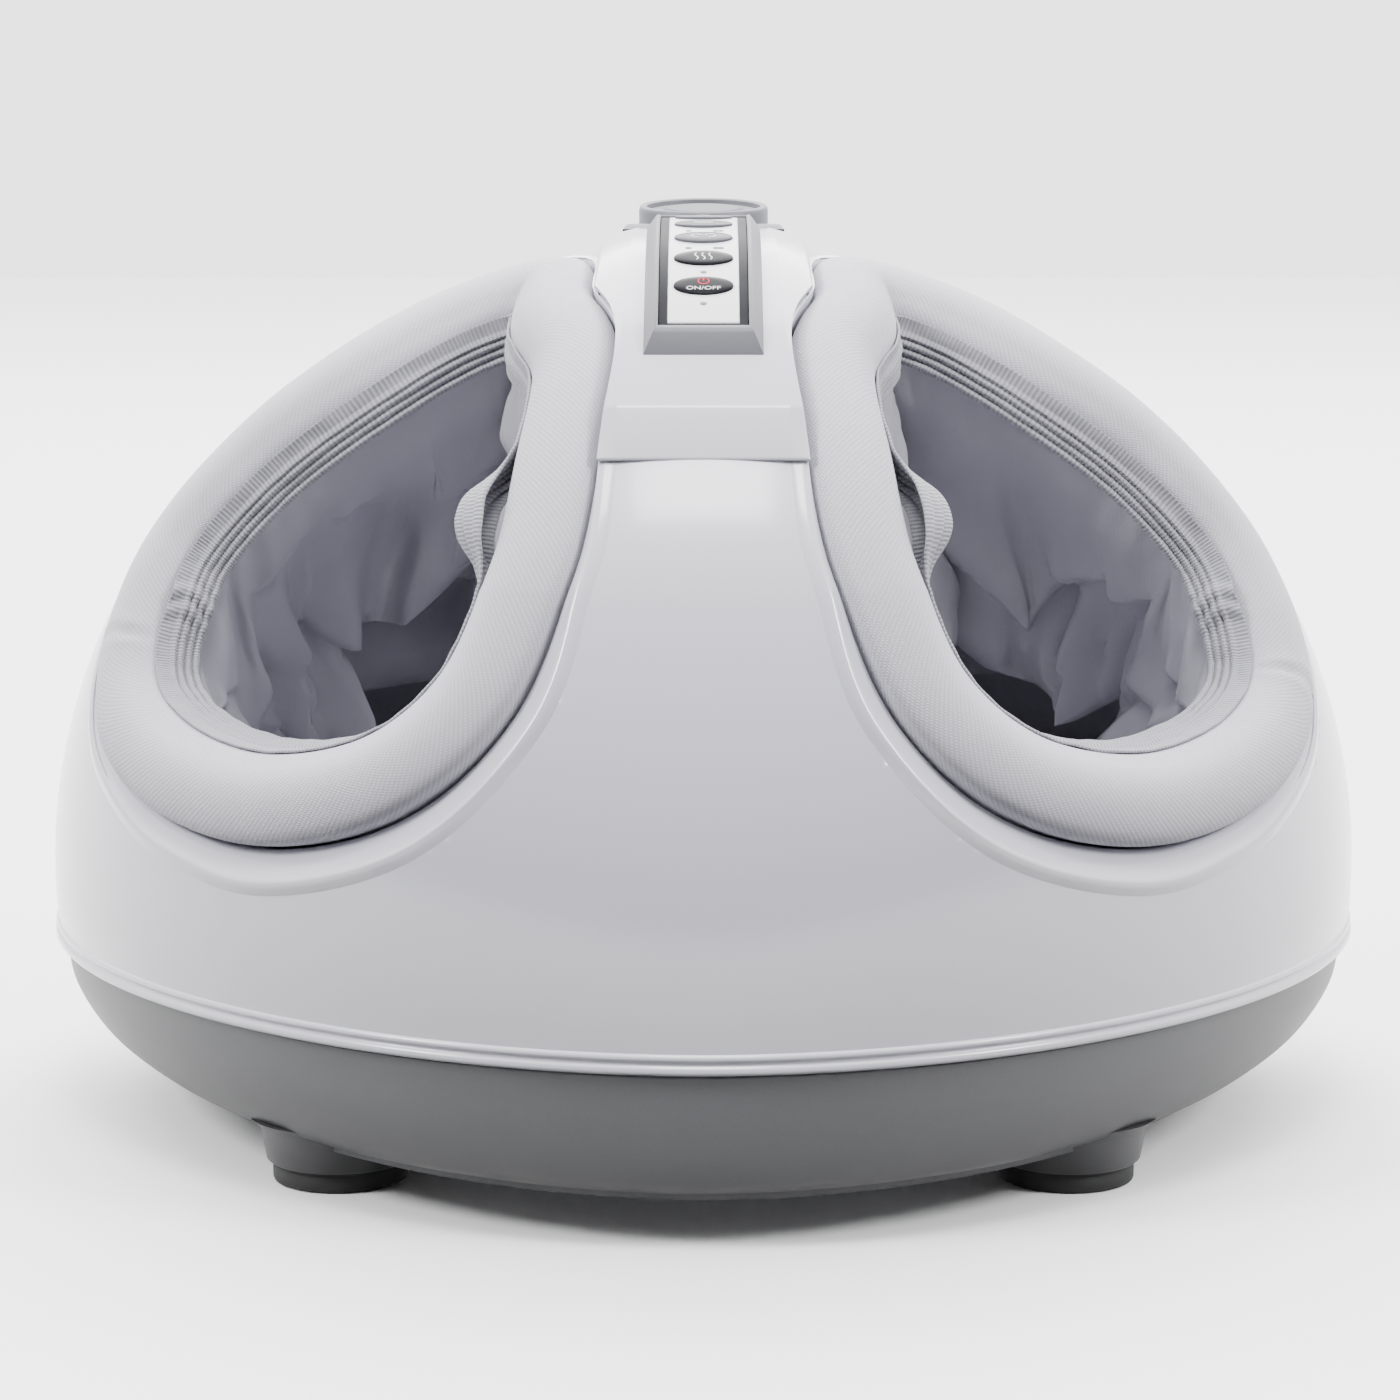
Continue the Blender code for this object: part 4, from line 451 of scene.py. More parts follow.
def turned(profile, steps=64):
    """A round body spun about Z from (radius, level) pairs."""
    bm = bmesh.new()
    verts = [bm.verts.new((radius, 0, level)) for radius, level in profile]
    edges = [bm.edges.new(pair) for pair in zip(verts, verts[1:])]
    bmesh.ops.spin(
        bm, geom=verts + edges, cent=(0, 0, 0), axis=(0, 0, 1), angle=2 * math.pi, steps=steps, use_merge=True
    )
    bmesh.ops.remove_doubles(bm, verts=bm.verts, dist=1e-6)
    return bm


def moved(bm, point=(0, 0, 0), tilt=0.0):
    bmesh.ops.rotate(bm, verts=bm.verts, cent=(0, 0, 0), matrix=Matrix.Rotation(tilt, 3, "X"))
    bmesh.ops.translate(bm, verts=bm.verts, vec=point)
    return bm


def add_piece(name, bm, material, nodes=(), body="housing", sharp=35.0, outward=True):
    """Turns a bmesh into a finished piece that rides on a body and stands for CAD nodes."""
    if outward:
        bmesh.ops.recalc_face_normals(bm, faces=bm.faces)
    mesh = bpy.data.meshes.new(name)
    bm.to_mesh(mesh)
    bm.free()
    mesh.shade_smooth()
    mesh.set_sharp_from_angle(angle=math.radians(sharp))
    mesh.materials.append(material)
    piece = bpy.data.objects.new(name, mesh)
    bpy.context.scene.collection.objects.link(piece)
    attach(piece, body)
    if nodes:
        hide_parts(*nodes)
    return piece


def cut(piece, bm):
    """Cuts a closed body out of a piece."""
    bmesh.ops.recalc_face_normals(bm, faces=bm.faces)
    mesh = bpy.data.meshes.new("cutter")
    bm.to_mesh(mesh)
    bm.free()
    cutter = bpy.data.objects.new("cutter", mesh)
    bpy.context.scene.collection.objects.link(cutter)
    step = piece.modifiers.new("cut", "BOOLEAN")
    step.solver = "EXACT"
    step.object = cutter
    settle(piece)
    bpy.data.objects.remove(cutter)


def settle(piece):
    """Applies a piece's modifiers."""
    bpy.context.view_layer.update()
    graph = bpy.context.evaluated_depsgraph_get()
    mesh = bpy.data.meshes.new_from_object(piece.evaluated_get(graph), depsgraph=graph)
    piece.modifiers.clear()
    old = piece.data
    mesh.name = old.name + "_cut"
    piece.data = mesh
    bpy.data.meshes.remove(old)


def thicken(piece, thickness, offset=-1.0):
    """Gives a surface its wall, inwards or half to each side."""
    step = piece.modifiers.new("wall", "SOLIDIFY")
    step.thickness = thickness
    step.offset = offset
    settle(piece)


def box(size, centre):
    bm = bmesh.new()
    bmesh.ops.create_cube(bm, size=1.0)
    bmesh.ops.scale(bm, verts=bm.verts, vec=size)
    bmesh.ops.translate(bm, verts=bm.verts, vec=centre)
    return bm


# Finishes

class Finish:
    """A Principled material with short ways to add its grain."""

    def __init__(self, name, colour, roughness, metallic=0.0, **sockets):
        self.made = bpy.data.materials.new(name)
        self.made.use_nodes = True
        self.tree = self.made.node_tree
        self.shader = self.tree.nodes["Principled BSDF"]
        self.shader.inputs["Base Color"].default_value = (*colour, 1.0)
        self.shader.inputs["Roughness"].default_value = roughness
        self.shader.inputs["Metallic"].default_value = metallic
        for key, value in sockets.items():
            self.shader.inputs[key.replace("_", " ")].default_value = value
        self.colour = colour

    def node(self, kind, sockets=None, **values):
        made = self.tree.nodes.new(kind)
        for key, value in values.items():
            setattr(made, key, value)
        for key, value in (sockets or {}).items():
            made.inputs[key].default_value = value
        return made

    def link(self, source, node, socket):
        self.tree.links.new(source, node.inputs[socket])

    def coordinates(self, kind="Object", scale=(1, 1, 1), turn=0.0):
        source = self.node("ShaderNodeTexCoord")
        mapping = self.node("ShaderNodeMapping", {"Scale": scale, "Rotation": (0, 0, turn)})
        self.link(source.outputs[kind], mapping, "Vector")
        return mapping.outputs["Vector"]

    def speckle(self, scale, octaves=3.0, stretch=(1, 1, 1)):
        made = self.node("ShaderNodeTexNoise", {"Scale": scale, "Detail": octaves, "Roughness": 0.5})
        self.link(self.coordinates("Object", stretch), made, "Vector")
        return made.outputs["Fac"]

    def lines(self, pitch, turn=0.0, kind="UV", distortion=0.0):
        """Parallel lines a pitch apart, on metres of the UV map."""
        values = {"Scale": math.pi / 10 / pitch, "Distortion": distortion, "Detail": 1.0}
        made = self.node("ShaderNodeTexWave", values, wave_type="BANDS", bands_direction="X")
        self.link(self.coordinates(kind, turn=turn), made, "Vector")
        return made.outputs["Fac"]

    def mix(self, a, b, how="ADD"):
        made = self.node("ShaderNodeMath", operation=how)
        for socket, value in zip(made.inputs, (a, b)):
            if isinstance(value, (int, float)):
                socket.default_value = value
            else:
                self.tree.links.new(value, socket)
        return made.outputs["Value"]

    def shade(self, fac, dark, light):
        """Base colour between two multiples of the finish's own colour."""
        ramp = self.node("ShaderNodeValToRGB")
        for stop, place, share in zip(ramp.color_ramp.elements, (0.3, 0.7), (dark, light)):
            stop.position = place
            stop.color = (*(min(c * share, 1.0) for c in self.colour), 1.0)
        self.link(fac, ramp, "Fac")
        self.link(ramp.outputs["Color"], self.shader, "Base Color")
        return self

    def gloss(self, fac, low, high):
        """Roughness between two values."""
        made = self.node("ShaderNodeMapRange", {"To Min": low, "To Max": high})
        self.link(fac, made, "Value")
        self.link(made.outputs["Result"], self.shader, "Roughness")
        return self

    def relief(self, height, distance, strength=1.0):
        bump = self.node("ShaderNodeBump", {"Strength": strength, "Distance": distance})
        self.link(height, bump, "Height")
        self.link(bump.outputs["Normal"], self.shader, "Normal")
        return self


def gloss_white():
    f = Finish(
        "gloss_white", colours().shell, 0.20, Coat_Weight=0.35, Coat_Roughness=0.08, Specular_IOR_Level=0.5
    )
    f.gloss(f.speckle(9, octaves=2), 0.16, 0.24)
    f.shade(f.speckle(4, octaves=2), 0.985, 1.0)
    return f.relief(f.speckle(260, octaves=1), 0.00002, 0.25).made


def satin_grey():
    f = Finish("satin_grey", colours().tray, 0.46)
    f.gloss(f.speckle(14), 0.42, 0.52)
    f.shade(f.speckle(1800, octaves=1), 0.95, 1.04)
    return f.relief(f.speckle(2600, octaves=2), 0.00006, 0.35).made


def grained_plastic(name, colour, roughness=0.55, grain=0.00005):
    f = Finish(name, colour, roughness)
    f.gloss(f.speckle(40), roughness - 0.05, roughness + 0.07)
    f.shade(f.speckle(25), 0.93, 1.05)
    return f.relief(f.speckle(1900, octaves=2), grain, 0.5).made


def ring_cloth():
    f = Finish("ring_cloth", colours().ring, 0.82, Sheen_Weight=0.35, Sheen_Roughness=0.45)
    pitch = sizes().weave
    ridges = f.lines(pitch, math.radians(38), distortion=0.6)
    twill = f.mix(ridges, f.lines(pitch * 0.62, math.radians(-52)), "MULTIPLY")
    yarn = f.mix(twill, f.speckle(5200, octaves=2))
    f.shade(f.mix(yarn, 0.5, "MULTIPLY"), 0.78, 1.12)
    return f.relief(yarn, 0.00022, 0.55).made


def band_cloth():
    f = Finish("band_cloth", colours().band, 0.85, Sheen_Weight=0.3, Sheen_Roughness=0.5)
    knit = f.mix(f.lines(0.0013), f.speckle(4200))
    f.shade(f.mix(knit, 0.5, "MULTIPLY"), 0.78, 1.12)
    return f.relief(knit, 0.0003, 0.7).made


def satin_cloth():
    f = Finish(
        "satin_cloth", colours().liner, 0.40, Sheen_Weight=0.25, Sheen_Roughness=0.35, Specular_IOR_Level=0.5
    )
    yarn = f.mix(f.lines(0.0007, math.radians(12)), f.speckle(3800))
    f.shade(f.speckle(16), 0.93, 1.05)
    f.gloss(f.speckle(22), 0.36, 0.46)
    return f.relief(yarn, 0.00008, 0.35).made


def silver_paint():
    f = Finish("silver_paint", colours().silver, 0.46, 0.15, Specular_IOR_Level=0.3)
    f.shade(f.speckle(5200, octaves=1), 0.93, 1.06)
    return f.relief(f.speckle(4200, octaves=1), 0.00002, 0.3).made


def gloss_black():
    f = Finish("gloss_black", (0.016, 0.016, 0.020), 0.34, Specular_IOR_Level=0.03)
    f.gloss(f.speckle(30), 0.30, 0.38)
    return f.shade(f.speckle(60), 0.8, 1.25).made


def plain_gloss(name, colour, roughness=0.28):
    f = Finish(name, colour, roughness, Specular_IOR_Level=0.05)
    f.gloss(f.speckle(60), roughness - 0.04, roughness + 0.05)
    return f.shade(f.speckle(900, octaves=1), 0.95, 1.04).made


def foil_label():
    f = Finish("foil_label", (0.78, 0.78, 0.82), 0.30)
    f.shade(f.speckle(700, octaves=1), 0.98, 1.01)
    return f.relief(f.speckle(3000, octaves=1), 0.00002, 0.2).made


def black_rubber():
    f = Finish("black_rubber", (0.012, 0.012, 0.013), 0.72)
    f.shade(f.speckle(50), 0.7, 1.6)
    return f.relief(f.speckle(2400), 0.0001, 0.6).made


def zinc_steel():
    f = Finish("zinc_steel", (0.55, 0.55, 0.56), 0.34, 1.0)
    f.gloss(f.speckle(300, stretch=(1, 0.05, 1)), 0.26, 0.44)
    return f.shade(f.speckle(45), 0.88, 1.06).made


def circuit_green():
    f = Finish("circuit_green", (0.02, 0.17, 0.07), 0.4)
    return f.shade(f.lines(0.0021, kind="Object"), 0.75, 1.3).made


def welded_film():
    f = Finish("welded_film", (0.10, 0.10, 0.11), 0.5)
    f.shade(f.speckle(60), 0.85, 1.15)
    return f.relief(f.speckle(180), 0.0004, 0.5).made


def finish(name, maker, *values):
    """One material by name, made when it is first asked for."""
    return bpy.data.materials.get(name) or maker(*values)


def shell_finish():
    return finish("gloss_white", gloss_white)


def round_opening(dome, side, rows, corner, size=(1.0, 1.0), count=None):
    """A skin round one opening: corner gives a point by its shares round and across, and the frame there."""
    count = count or detail().ring
    frames = ring_frames(dome, side, count)

    def place(u, v):
        i = round(u * count) % count
        return corner(i / count, v, *frames[i])

    return skin(count, rows, place, size)


# Housing

def rim_reach(share):
    """How far out a cushion's slot reaches, and how wide the rim is, at a share of the way round."""
    s = sizes()
    return s.ring_half + SLOT_GAP, s.rim_width * round_value(RIM_WIDTH_SHARES, share)


def opening_cutter(dome, side, margin, levels, beside_rim):
    """A closed body that clears one opening, a margin outside the ring's slot or outside the rim round it."""
    facing = mirrored(OPENING_FACING, side)

    def corner(share, v, p, out, up):
        slot, width = rim_reach(share)
        level = levels[round(v * 3)]
        edge = p + out * (slot + width * beside_rim + margin)
        return edge + (up if abs(level) < 0.02 else facing) * level

    cutter = round_opening(dome, side, 3, corner, count=132)
    bmesh.ops.holes_fill(cutter, edges=[e for e in cutter.edges if e.is_boundary], sides=0)
    return cutter


def dome_under(dome, p, out, up, distance, lift=0.0):
    """The dome's surface a distance out from an opening's line, lifted off it."""
    point = dome.meet(p + out * distance, up, 0.03)
    return point + dome.normal(point) * lift


class MASSAGER_OT_shell(bpy.types.Operator):
    """Glossy housing with its seam bead and the rolled rims of both openings"""

    bl_idname = "massager.shell"
    bl_label = "Shell"

    def execute(self, context):
        dome = Dome()
        s = sizes()
        count = detail().around
        first = math.asin((s.seam + 0.0003 - s.widest) / s.rise)
        rows = 92

        def place(u, v):
            return dome.at(u, first + (math.pi / 2 - first) * v)

        shell = add_piece("shell", skin(count, rows, place), shell_finish(), ("upper_shell",))
        thicken(shell, s.wall)
        for side_name, side in SIDES:
            cut(shell, opening_cutter(dome, side, 0.0012, (-0.06, -0.012, 0.012, 0.05), 1))
            self.rim(dome, side_name, side)
        self.bead(dome)
        self.pod(dome)
        return {"FINISHED"}

    def rim(self, dome, side_name, side):
        """The rolled edge between the dome and one ring's slot, with the slot's wall below it."""
        points = 13

        def corner(share, v, p, out, up):
            slot, width = rim_reach(share)
            full = min(width / FULL_RIM, 1)
            deep = 0.0052 * full
            crest = slot + width + 0.0008
            lift = 0.0005 + 0.0007 * full
            rows = (
                (slot, -0.020, False),
                (slot, -(0.0022 + deep), False),
                (slot + 0.0004, -(0.0014 + deep), False),
                (slot + 0.0010 + width * 0.30, -deep * 0.72, True),
                (slot + 0.0010 + width * 0.60, -deep * 0.40, True),
                (crest - 0.0010, lift * 0.2 - deep * 0.05, True),
                (crest, lift * 0.8, True),
                (crest + 0.0010, lift, True),
                (crest + 0.0024, lift * 0.6, True),
                (crest + 0.0044, 0.00005, True),
                (crest + 0.0056, -0.0006, True),
                (crest + 0.0020, -0.0030, True),
                (slot + 0.0027, -0.020, False),
            )
            distance, high, on_dome = rows[round(v * points) % points]
            if on_dome:
                return dome_under(dome, p, out, up, distance, high)
            return p + out * distance + up * high

        body = round_opening(dome, side, points, corner)
        add_piece("shell_rim_" + side_name, body, shell_finish(), sharp=60)

    def bead(self, dome):
        """The stepped bright lip along the shell's lower edge."""
        count = detail().around
        rows = len(LIP_SECTION)

        def place(u, v):
            proud, high = LIP_SECTION[round(v * rows) % rows]
            level = dome.seam + high
            scale = dome.seam_scale(level)
            return dome.outline(u, level, scale, scale, proud)

        add_piece("seam_lip", skin(count, rows, place), shell_finish(), sharp=60)

    def pod(self, dome):
        """The raised spine with its step, creases and tail."""
        rise = sizes().pod_rise
        start, step_end, tail, end = (math.radians(a) for a in POD_ANGLES)
        narrow = math.radians(POD_NARROW_ANGLE)
        angles = [start, start + math.radians(0.25)]
        angles += [start + (step_end - start) * k / 4 for k in range(1, 4)]
        angles += [step_end - math.radians(0.2), step_end, step_end + math.radians(0.35)]
        angles += [step_end + (tail - step_end) * k / 60 for k in range(1, 60)]
        angles += [tail, tail + (end - tail) * 0.5, end]

        def place(u, v):
            angle = angles[round(v * (len(angles) - 1))]
            risen = min((angle - start) / (step_end - start), (end - angle) / (end - tail), 1)
            climb = min(max((angle - step_end) / (narrow - step_end), 0), 1)
            half = POD_HALF_WIDTHS[0] - (POD_HALF_WIDTHS[0] - POD_HALF_WIDTHS[1]) * climb
            crease = POD_CREASES[0] - (POD_CREASES[0] - POD_CREASES[1]) * climb
            lift = rise * risen
            side = [
                (half, -0.006), (half, 0.0), (half - lift * 0.10, lift * 0.16),
                (half - lift * 0.25, lift * 0.27), (half - lift * 0.40, lift * 0.33),
                ((half + crease) / 2, lift * 0.67),
                (crease + 0.0006, lift * 0.985), (crease, lift * 1.02), (crease - 0.0006, lift * 1.02),
                (crease / 2, lift * 1.02),
            ]
            section = [(-x, z) for x, z in side] + [(0.0, lift * 1.02)] + side[::-1]
            x, z = section[round(u * (len(section) - 1))]
            return dome.spine(angle, x, z)

        pod = add_piece("spine_pod", skin(20, len(angles) - 1, place), shell_finish(), sharp=22)
        thicken(pod, POD_WALL)
        for side in (-1, 1):
            cut(pod, opening_cutter(dome, side, 0.0004, (-0.05, -0.012, 0.014, 0.05), 0))


class MASSAGER_OT_base(bpy.types.Operator):
    """Grey base tray with its foot bosses, vents and bottom plate"""

    bl_idname = "massager.base"
    bl_label = "Base"

    def execute(self, context):
        dome = Dome()
        grey = finish("satin_grey", satin_grey)
        scale = dome.seam_scale(dome.seam)
        rear = dome.half_y

        def place(u, v):
            share, wide, deep = tray_row(v)
            height = TRAY_FLOOR + (dome.seam - TRAY_FLOOR) * share
            return dome.outline(u, dome.seam, scale * wide, scale * deep, 0.0, height)

        body = skin(detail().around, 30, place)
        rims = [e for e in body.edges if e.is_boundary and e.verts[0].co.z < TRAY_FLOOR + 0.001]
        bmesh.ops.holes_fill(body, edges=rims, sides=0)
        tray = add_piece("tray", body, grey, ("base_tray",), sharp=50)
        thicken(tray, TRAY_WALL)
        for side in (-1, 1):
            for i in range(3):
                cut(tray, box(VENT_HOLE, (side * (VENT_START + i * VENT_PITCH), rear, REAR_HOLES_LEVEL)))
        cut(tray, box(INLET_HOLE, (0, rear, REAR_HOLES_LEVEL)))
        for end, way in (("front", -1), ("rear", 1)):
            for side_name, side in SIDES:
                self.foot("%s_%s" % (end, side_name), (side * FOOT_SPREAD[0], way * FOOT_SPREAD[1], 0), grey)
        self.plate(dome, scale)
        return {"FINISHED"}

    def foot(self, name, point, grey):
        """A boss of the tray, the rubber pad under it and the screw in the pad's middle."""
        add_piece("foot_boss_" + name, moved(turned(BOSS_SECTION), point), grey)
        rubber = finish("black_rubber", black_rubber)
        pad = moved(turned(PAD_SECTION), point)
        add_piece("foot_pad_" + name, pad, rubber, ("rubber_foot_" + name,))
        screw = moved(turned(SCREW_SECTION, 24), point)
        add_piece("foot_screw_" + name, screw, finish("zinc_steel", zinc_steel))

    def plate(self, dome, scale):
        """The plate that closes the tray from below."""
        bottom = PLATE_TOP - PLATE_THICKNESS
        body = bmesh.new()
        bmesh.ops.create_circle(body, cap_ends=True, segments=180, radius=1.0)
        for vertex in body.verts:
            turn = math.atan2(vertex.co.y, vertex.co.x) / (2 * math.pi)
            share_x, share_y = (scale * share for share in TRAY_SHARES[0][1:])
            vertex.co = dome.outline(turn, dome.seam, share_x, share_y, -0.004, PLATE_TOP)
        grown = bmesh.ops.extrude_face_region(body, geom=body.faces[:])
        low = [part for part in grown["geom"] if isinstance(part, bmesh.types.BMVert)]
        bmesh.ops.translate(body, verts=low, vec=(0, 0, -PLATE_THICKNESS))
        edges = [e for e in body.edges if all(abs(v.co.z - bottom) < 1e-5 for v in e.verts)]
        bmesh.ops.bevel(
            body, geom=edges, offset=0.0008, offset_type="OFFSET", affect="EDGES", segments=3, profile=0.5,
            material=-1,
        )
        plate = finish("plate_grey", grained_plastic, "plate_grey", (0.13, 0.13, 0.14))
        add_piece("bottom_cover", body, plate, ("bottom_plate",))


def tray_row(v):
    """(height share, width share, depth share) of the tray's side, smooth through its rows."""
    place = v * (len(TRAY_SHARES) - 1)
    i = min(int(place), len(TRAY_SHARES) - 2)
    t = place - i
    rows = [TRAY_SHARES[min(max(i + k - 1, 0), len(TRAY_SHARES) - 1)] for k in range(4)]
    found = []
    for a, b, c, d in zip(*rows):
        found.append(through(a, b, c, d, t))
    return found


class MASSAGER_OT_rings(bpy.types.Operator):
    """Padded rings with their stretch covers and cross seams"""

    bl_idname = "massager.rings"
    bl_label = "Padded rings"

    def execute(self, context):
        dome = Dome()
        cloth = finish("ring_cloth", ring_cloth)
        around = 44
        profile = closed_curve([Vector((a, h, 0)) for a, h in RING_SECTION], around)
        for side_name, side in SIDES:
            seam = RING_SEAMS[side]

            def corner(share, v, p, out, up):
                across, high, _ = profile[round(v * around) % around]
                cover = min(max((high + 0.009) / 0.005, 0), 1)
                puff = noise.noise(p * 21) * 0.0006 + noise.noise(p * 55) * 0.0002
                gap = (share - seam) * RING_GIRTH + 0.10 * across - 14.0 * across * across
                puff -= 0.0012 * math.exp(-((gap / 0.0011) ** 2))
                puff += 0.0004 * math.exp(-(((abs(gap) - 0.0034) / 0.0018) ** 2))
                if high > -0.011 and across < 0:
                    puff -= 0.00045 * math.exp(-(((across + 0.0092) / 0.0006) ** 2))
                push = (out * across + up * (high + 0.006)).normalized() * puff * cover
                return p + out * across + up * high + push

            body = round_opening(dome, side, around, corner, (0.54, 0.09))
            ring = add_piece(
                "ring_pad_" + side_name, body, cloth, ("ring_cushion_" + side_name,),
                sharp=80,
            )
        return {"FINISHED"}


def apart(share, place):
    """How far one share of the way round lies past another, the shorter way."""
    return (share - place + 0.5) % 1.0 - 0.5


def band_bulge(share):
    """How far the elastic band puffs into the opening, at a share of the way round."""
    return math.exp(-abs((apart(share, 0.0) - BAND_PUFF) / BAND_PUFF) ** 2.6)


def band_gather(share):
    """How tightly the band is gathered, at a share of the way round: at its two ends."""
    return sum(math.exp(-((apart(share, place) / BAND_GATHER_WIDTH) ** 2)) for place in BAND_GATHERS)


class MASSAGER_OT_bands(bpy.types.Operator):
    """Ribbed elastic bands inside the rings"""

    bl_idname = "massager.bands"
    bl_label = "Ribbed bands"

    def execute(self, context):
        dome = Dome()
        cloth = finish("band_cloth", band_cloth)
        for side_name, side in SIDES:

            def corner(share, v, p, out, up):
                bulge = band_bulge(share)
                gather = band_gather(share)
                lower = max(v - 0.28, 0) / 0.72
                rib = (0.5 - 0.5 * math.cos(2 * math.pi * lower * BAND_RIBS)) * min(lower * 6, 1)
                wave = noise.noise(Vector((share * 60, v * 3, side)))
                pleat = math.sin(share * 420 + 2.5 * math.sin(v * 4)) * gather
                inward = 0.0124 + 0.0026 * v + 0.0015 * rib + 0.0005 * wave + 0.0011 * pleat
                hidden = math.exp(-((apart(share, 0.0) / 0.16) ** 4))
                inward += 0.0024 * gather - 0.0034 * hidden * v
                puff = math.sin(math.pi * min(v * 0.90 + 0.05, 1)) ** 0.55
                inward += bulge * (0.0125 + 0.0011 * math.sin(v * 36)) * puff
                drop = BAND_TOP + BAND_HEIGHT * v - bulge * (0.0050 + 0.0030 * v)
                return p - out * inward - up * drop

            body = round_opening(dome, side, 36, corner, (0.46, 0.02))
            band = add_piece(
                "elastic_band_" + side_name, body, cloth, ("ribbed_band_" + side_name,),
                sharp=80, outward=False,
            )
            thicken(band, CLOTH_THICKNESS, 0.0)
        return {"FINISHED"}


# Foot pockets

def cubic(a, b, c, d, t):
    u = 1 - t
    return a * u**3 + b * (3 * u * u * t) + c * (3 * u * t * t) + d * t**3


class MASSAGER_OT_pockets(bpy.types.Operator):
    """Satin foot pockets, gathered into folds under the bands"""

    bl_idname = "massager.pockets"
    bl_label = "Foot pockets"

    neck_rows = 4
    wall_rows = 58
    sole_rows = 16

    def execute(self, context):
        dome = Dome()
        cloth = finish("satin_cloth", satin_cloth)
        count = detail().pocket
        rows = self.neck_rows + self.wall_rows + self.sole_rows
        for side_name, side in SIDES:
            table = self.table(dome, side, count)

            def place(u, v):
                return table[round(v * rows)][round(u * count) % count]

            body = skin(count, rows, place, (0.46, 0.24))
            pocket = add_piece(
                "foot_pocket_" + side_name, body, cloth, ("foot_liner_" + side_name,),
                sharp=80, outward=False,
            )
            self.settle_cloth(pocket, table, side)
            thicken(pocket, CLOTH_THICKNESS, 0.0)
        return {"FINISHED"}

    def settle_cloth(self, pocket, table, side):
        """Lets the pocket's spare cloth hang in folds, held by its hem and by the edge of its sole."""
        scene = bpy.context.scene
        start = [vertex.co.copy() for vertex in pocket.data.vertices]
        hem = [point for row in table[:self.neck_rows + 1] for point in row]
        sole = table[self.neck_rows + self.wall_rows][0].z + 0.0012
        near = kdtree.KDTree(len(hem))
        for i, point in enumerate(hem):
            near.insert(point, i)
        near.balance()
        held = pocket.vertex_groups.new(name="held")
        for vertex in pocket.data.vertices:
            if near.find(vertex.co)[2] < 1e-5 or vertex.co.z < sole:
                held.add([vertex.index], 1.0, "REPLACE")
        step = pocket.modifiers.new("cloth", "CLOTH")
        for key, value in CLOTH_SETTINGS.items():
            setattr(step.settings, key, value)
        step.settings.vertex_group_mass = held.name
        step.collision_settings.use_collision = False
        step.point_cache.frame_start = 1
        step.point_cache.frame_end = CLOTH_FRAMES
        for number in range(1, CLOTH_FRAMES + 1):
            scene.frame_set(number)
        settle(pocket)
        scene.frame_set(1)
        middle = Vector((side * SOLE_CENTRE[0], SOLE_CENTRE[1], 0.0))
        for vertex, old in zip(pocket.data.vertices, start):
            inward = ((middle - old) * Vector((1, 1, 0))).normalized()
            inward.z = 0.3 if old.z < 0.12 else -0.3
            inward.normalize()
            step = vertex.co - old
            depth = step.dot(inward)
            if depth < 0:
                step -= inward * depth
            if step.length > CLOTH_REACH:
                step *= CLOTH_REACH / step.length
            vertex.co = old + step

    def table(self, dome, side, count):
        """Rows of points from one pocket's hem down to the middle of its sole."""
        frames = ring_frames(dome, side, count)
        half_x, half_y = SOLE_HALF
        centre = Vector((side * SOLE_CENTRE[0], *SOLE_CENTRE[1:]))
        turn_y = opening_centre(dome).y + OPENING_HALF_HEIGHT * 0.35
        hem, neck = (
            [p - out * inside - up * below for p, out, up in frames]
            for inside, below in (HEM_PLACE, NECK_PLACE)
        )
        sole = []
        for point in hem:
            angle = math.atan2((point.y - turn_y) / half_y, (point.x - centre.x) / half_x)
            across, along = (signed_power(value, 0.8) for value in (math.cos(angle), math.sin(angle)))
            sole.append(centre + Vector((half_x * across, half_y * along, 0)))
        rows = []
        for k in range(self.neck_rows):
            rows.append([a.lerp(b, k / self.neck_rows) for a, b in zip(hem, neck)])
        for k in range(self.wall_rows + 1):
            t = k / self.wall_rows
            row = []
            for j, (p, out, up) in enumerate(frames):
                start, end = neck[j], sole[j]
                down = start - up * 0.016
                above = Vector((end.x, end.y, end.z + (start.z - end.z) * 0.60))
                point = cubic(start, down, above, end, t)
                inward = ((centre - point) * Vector((1, 1, 0.3))).normalized()
                depth, sag = self.fold(side, j / count, t)
                row.append(point + inward * depth - Vector((0, 0, sag)))
            rows.append(row)
        for k in range(1, self.sole_rows + 1):
            t = k / self.sole_rows
            row = []
            for j in range(count):
                point = sole[j].lerp(centre, t)
                wave = noise.noise(Vector((point.x * 24, point.y * 16, side * 3)))
                lift = 0.004 * wave * math.sin(math.pi * min(t * 1.2, 1))
                row.append(point + Vector((0, 0, 0.003 * math.sin(math.pi * t) + max(lift, -0.002))))
            rows.append(row)
        return rows

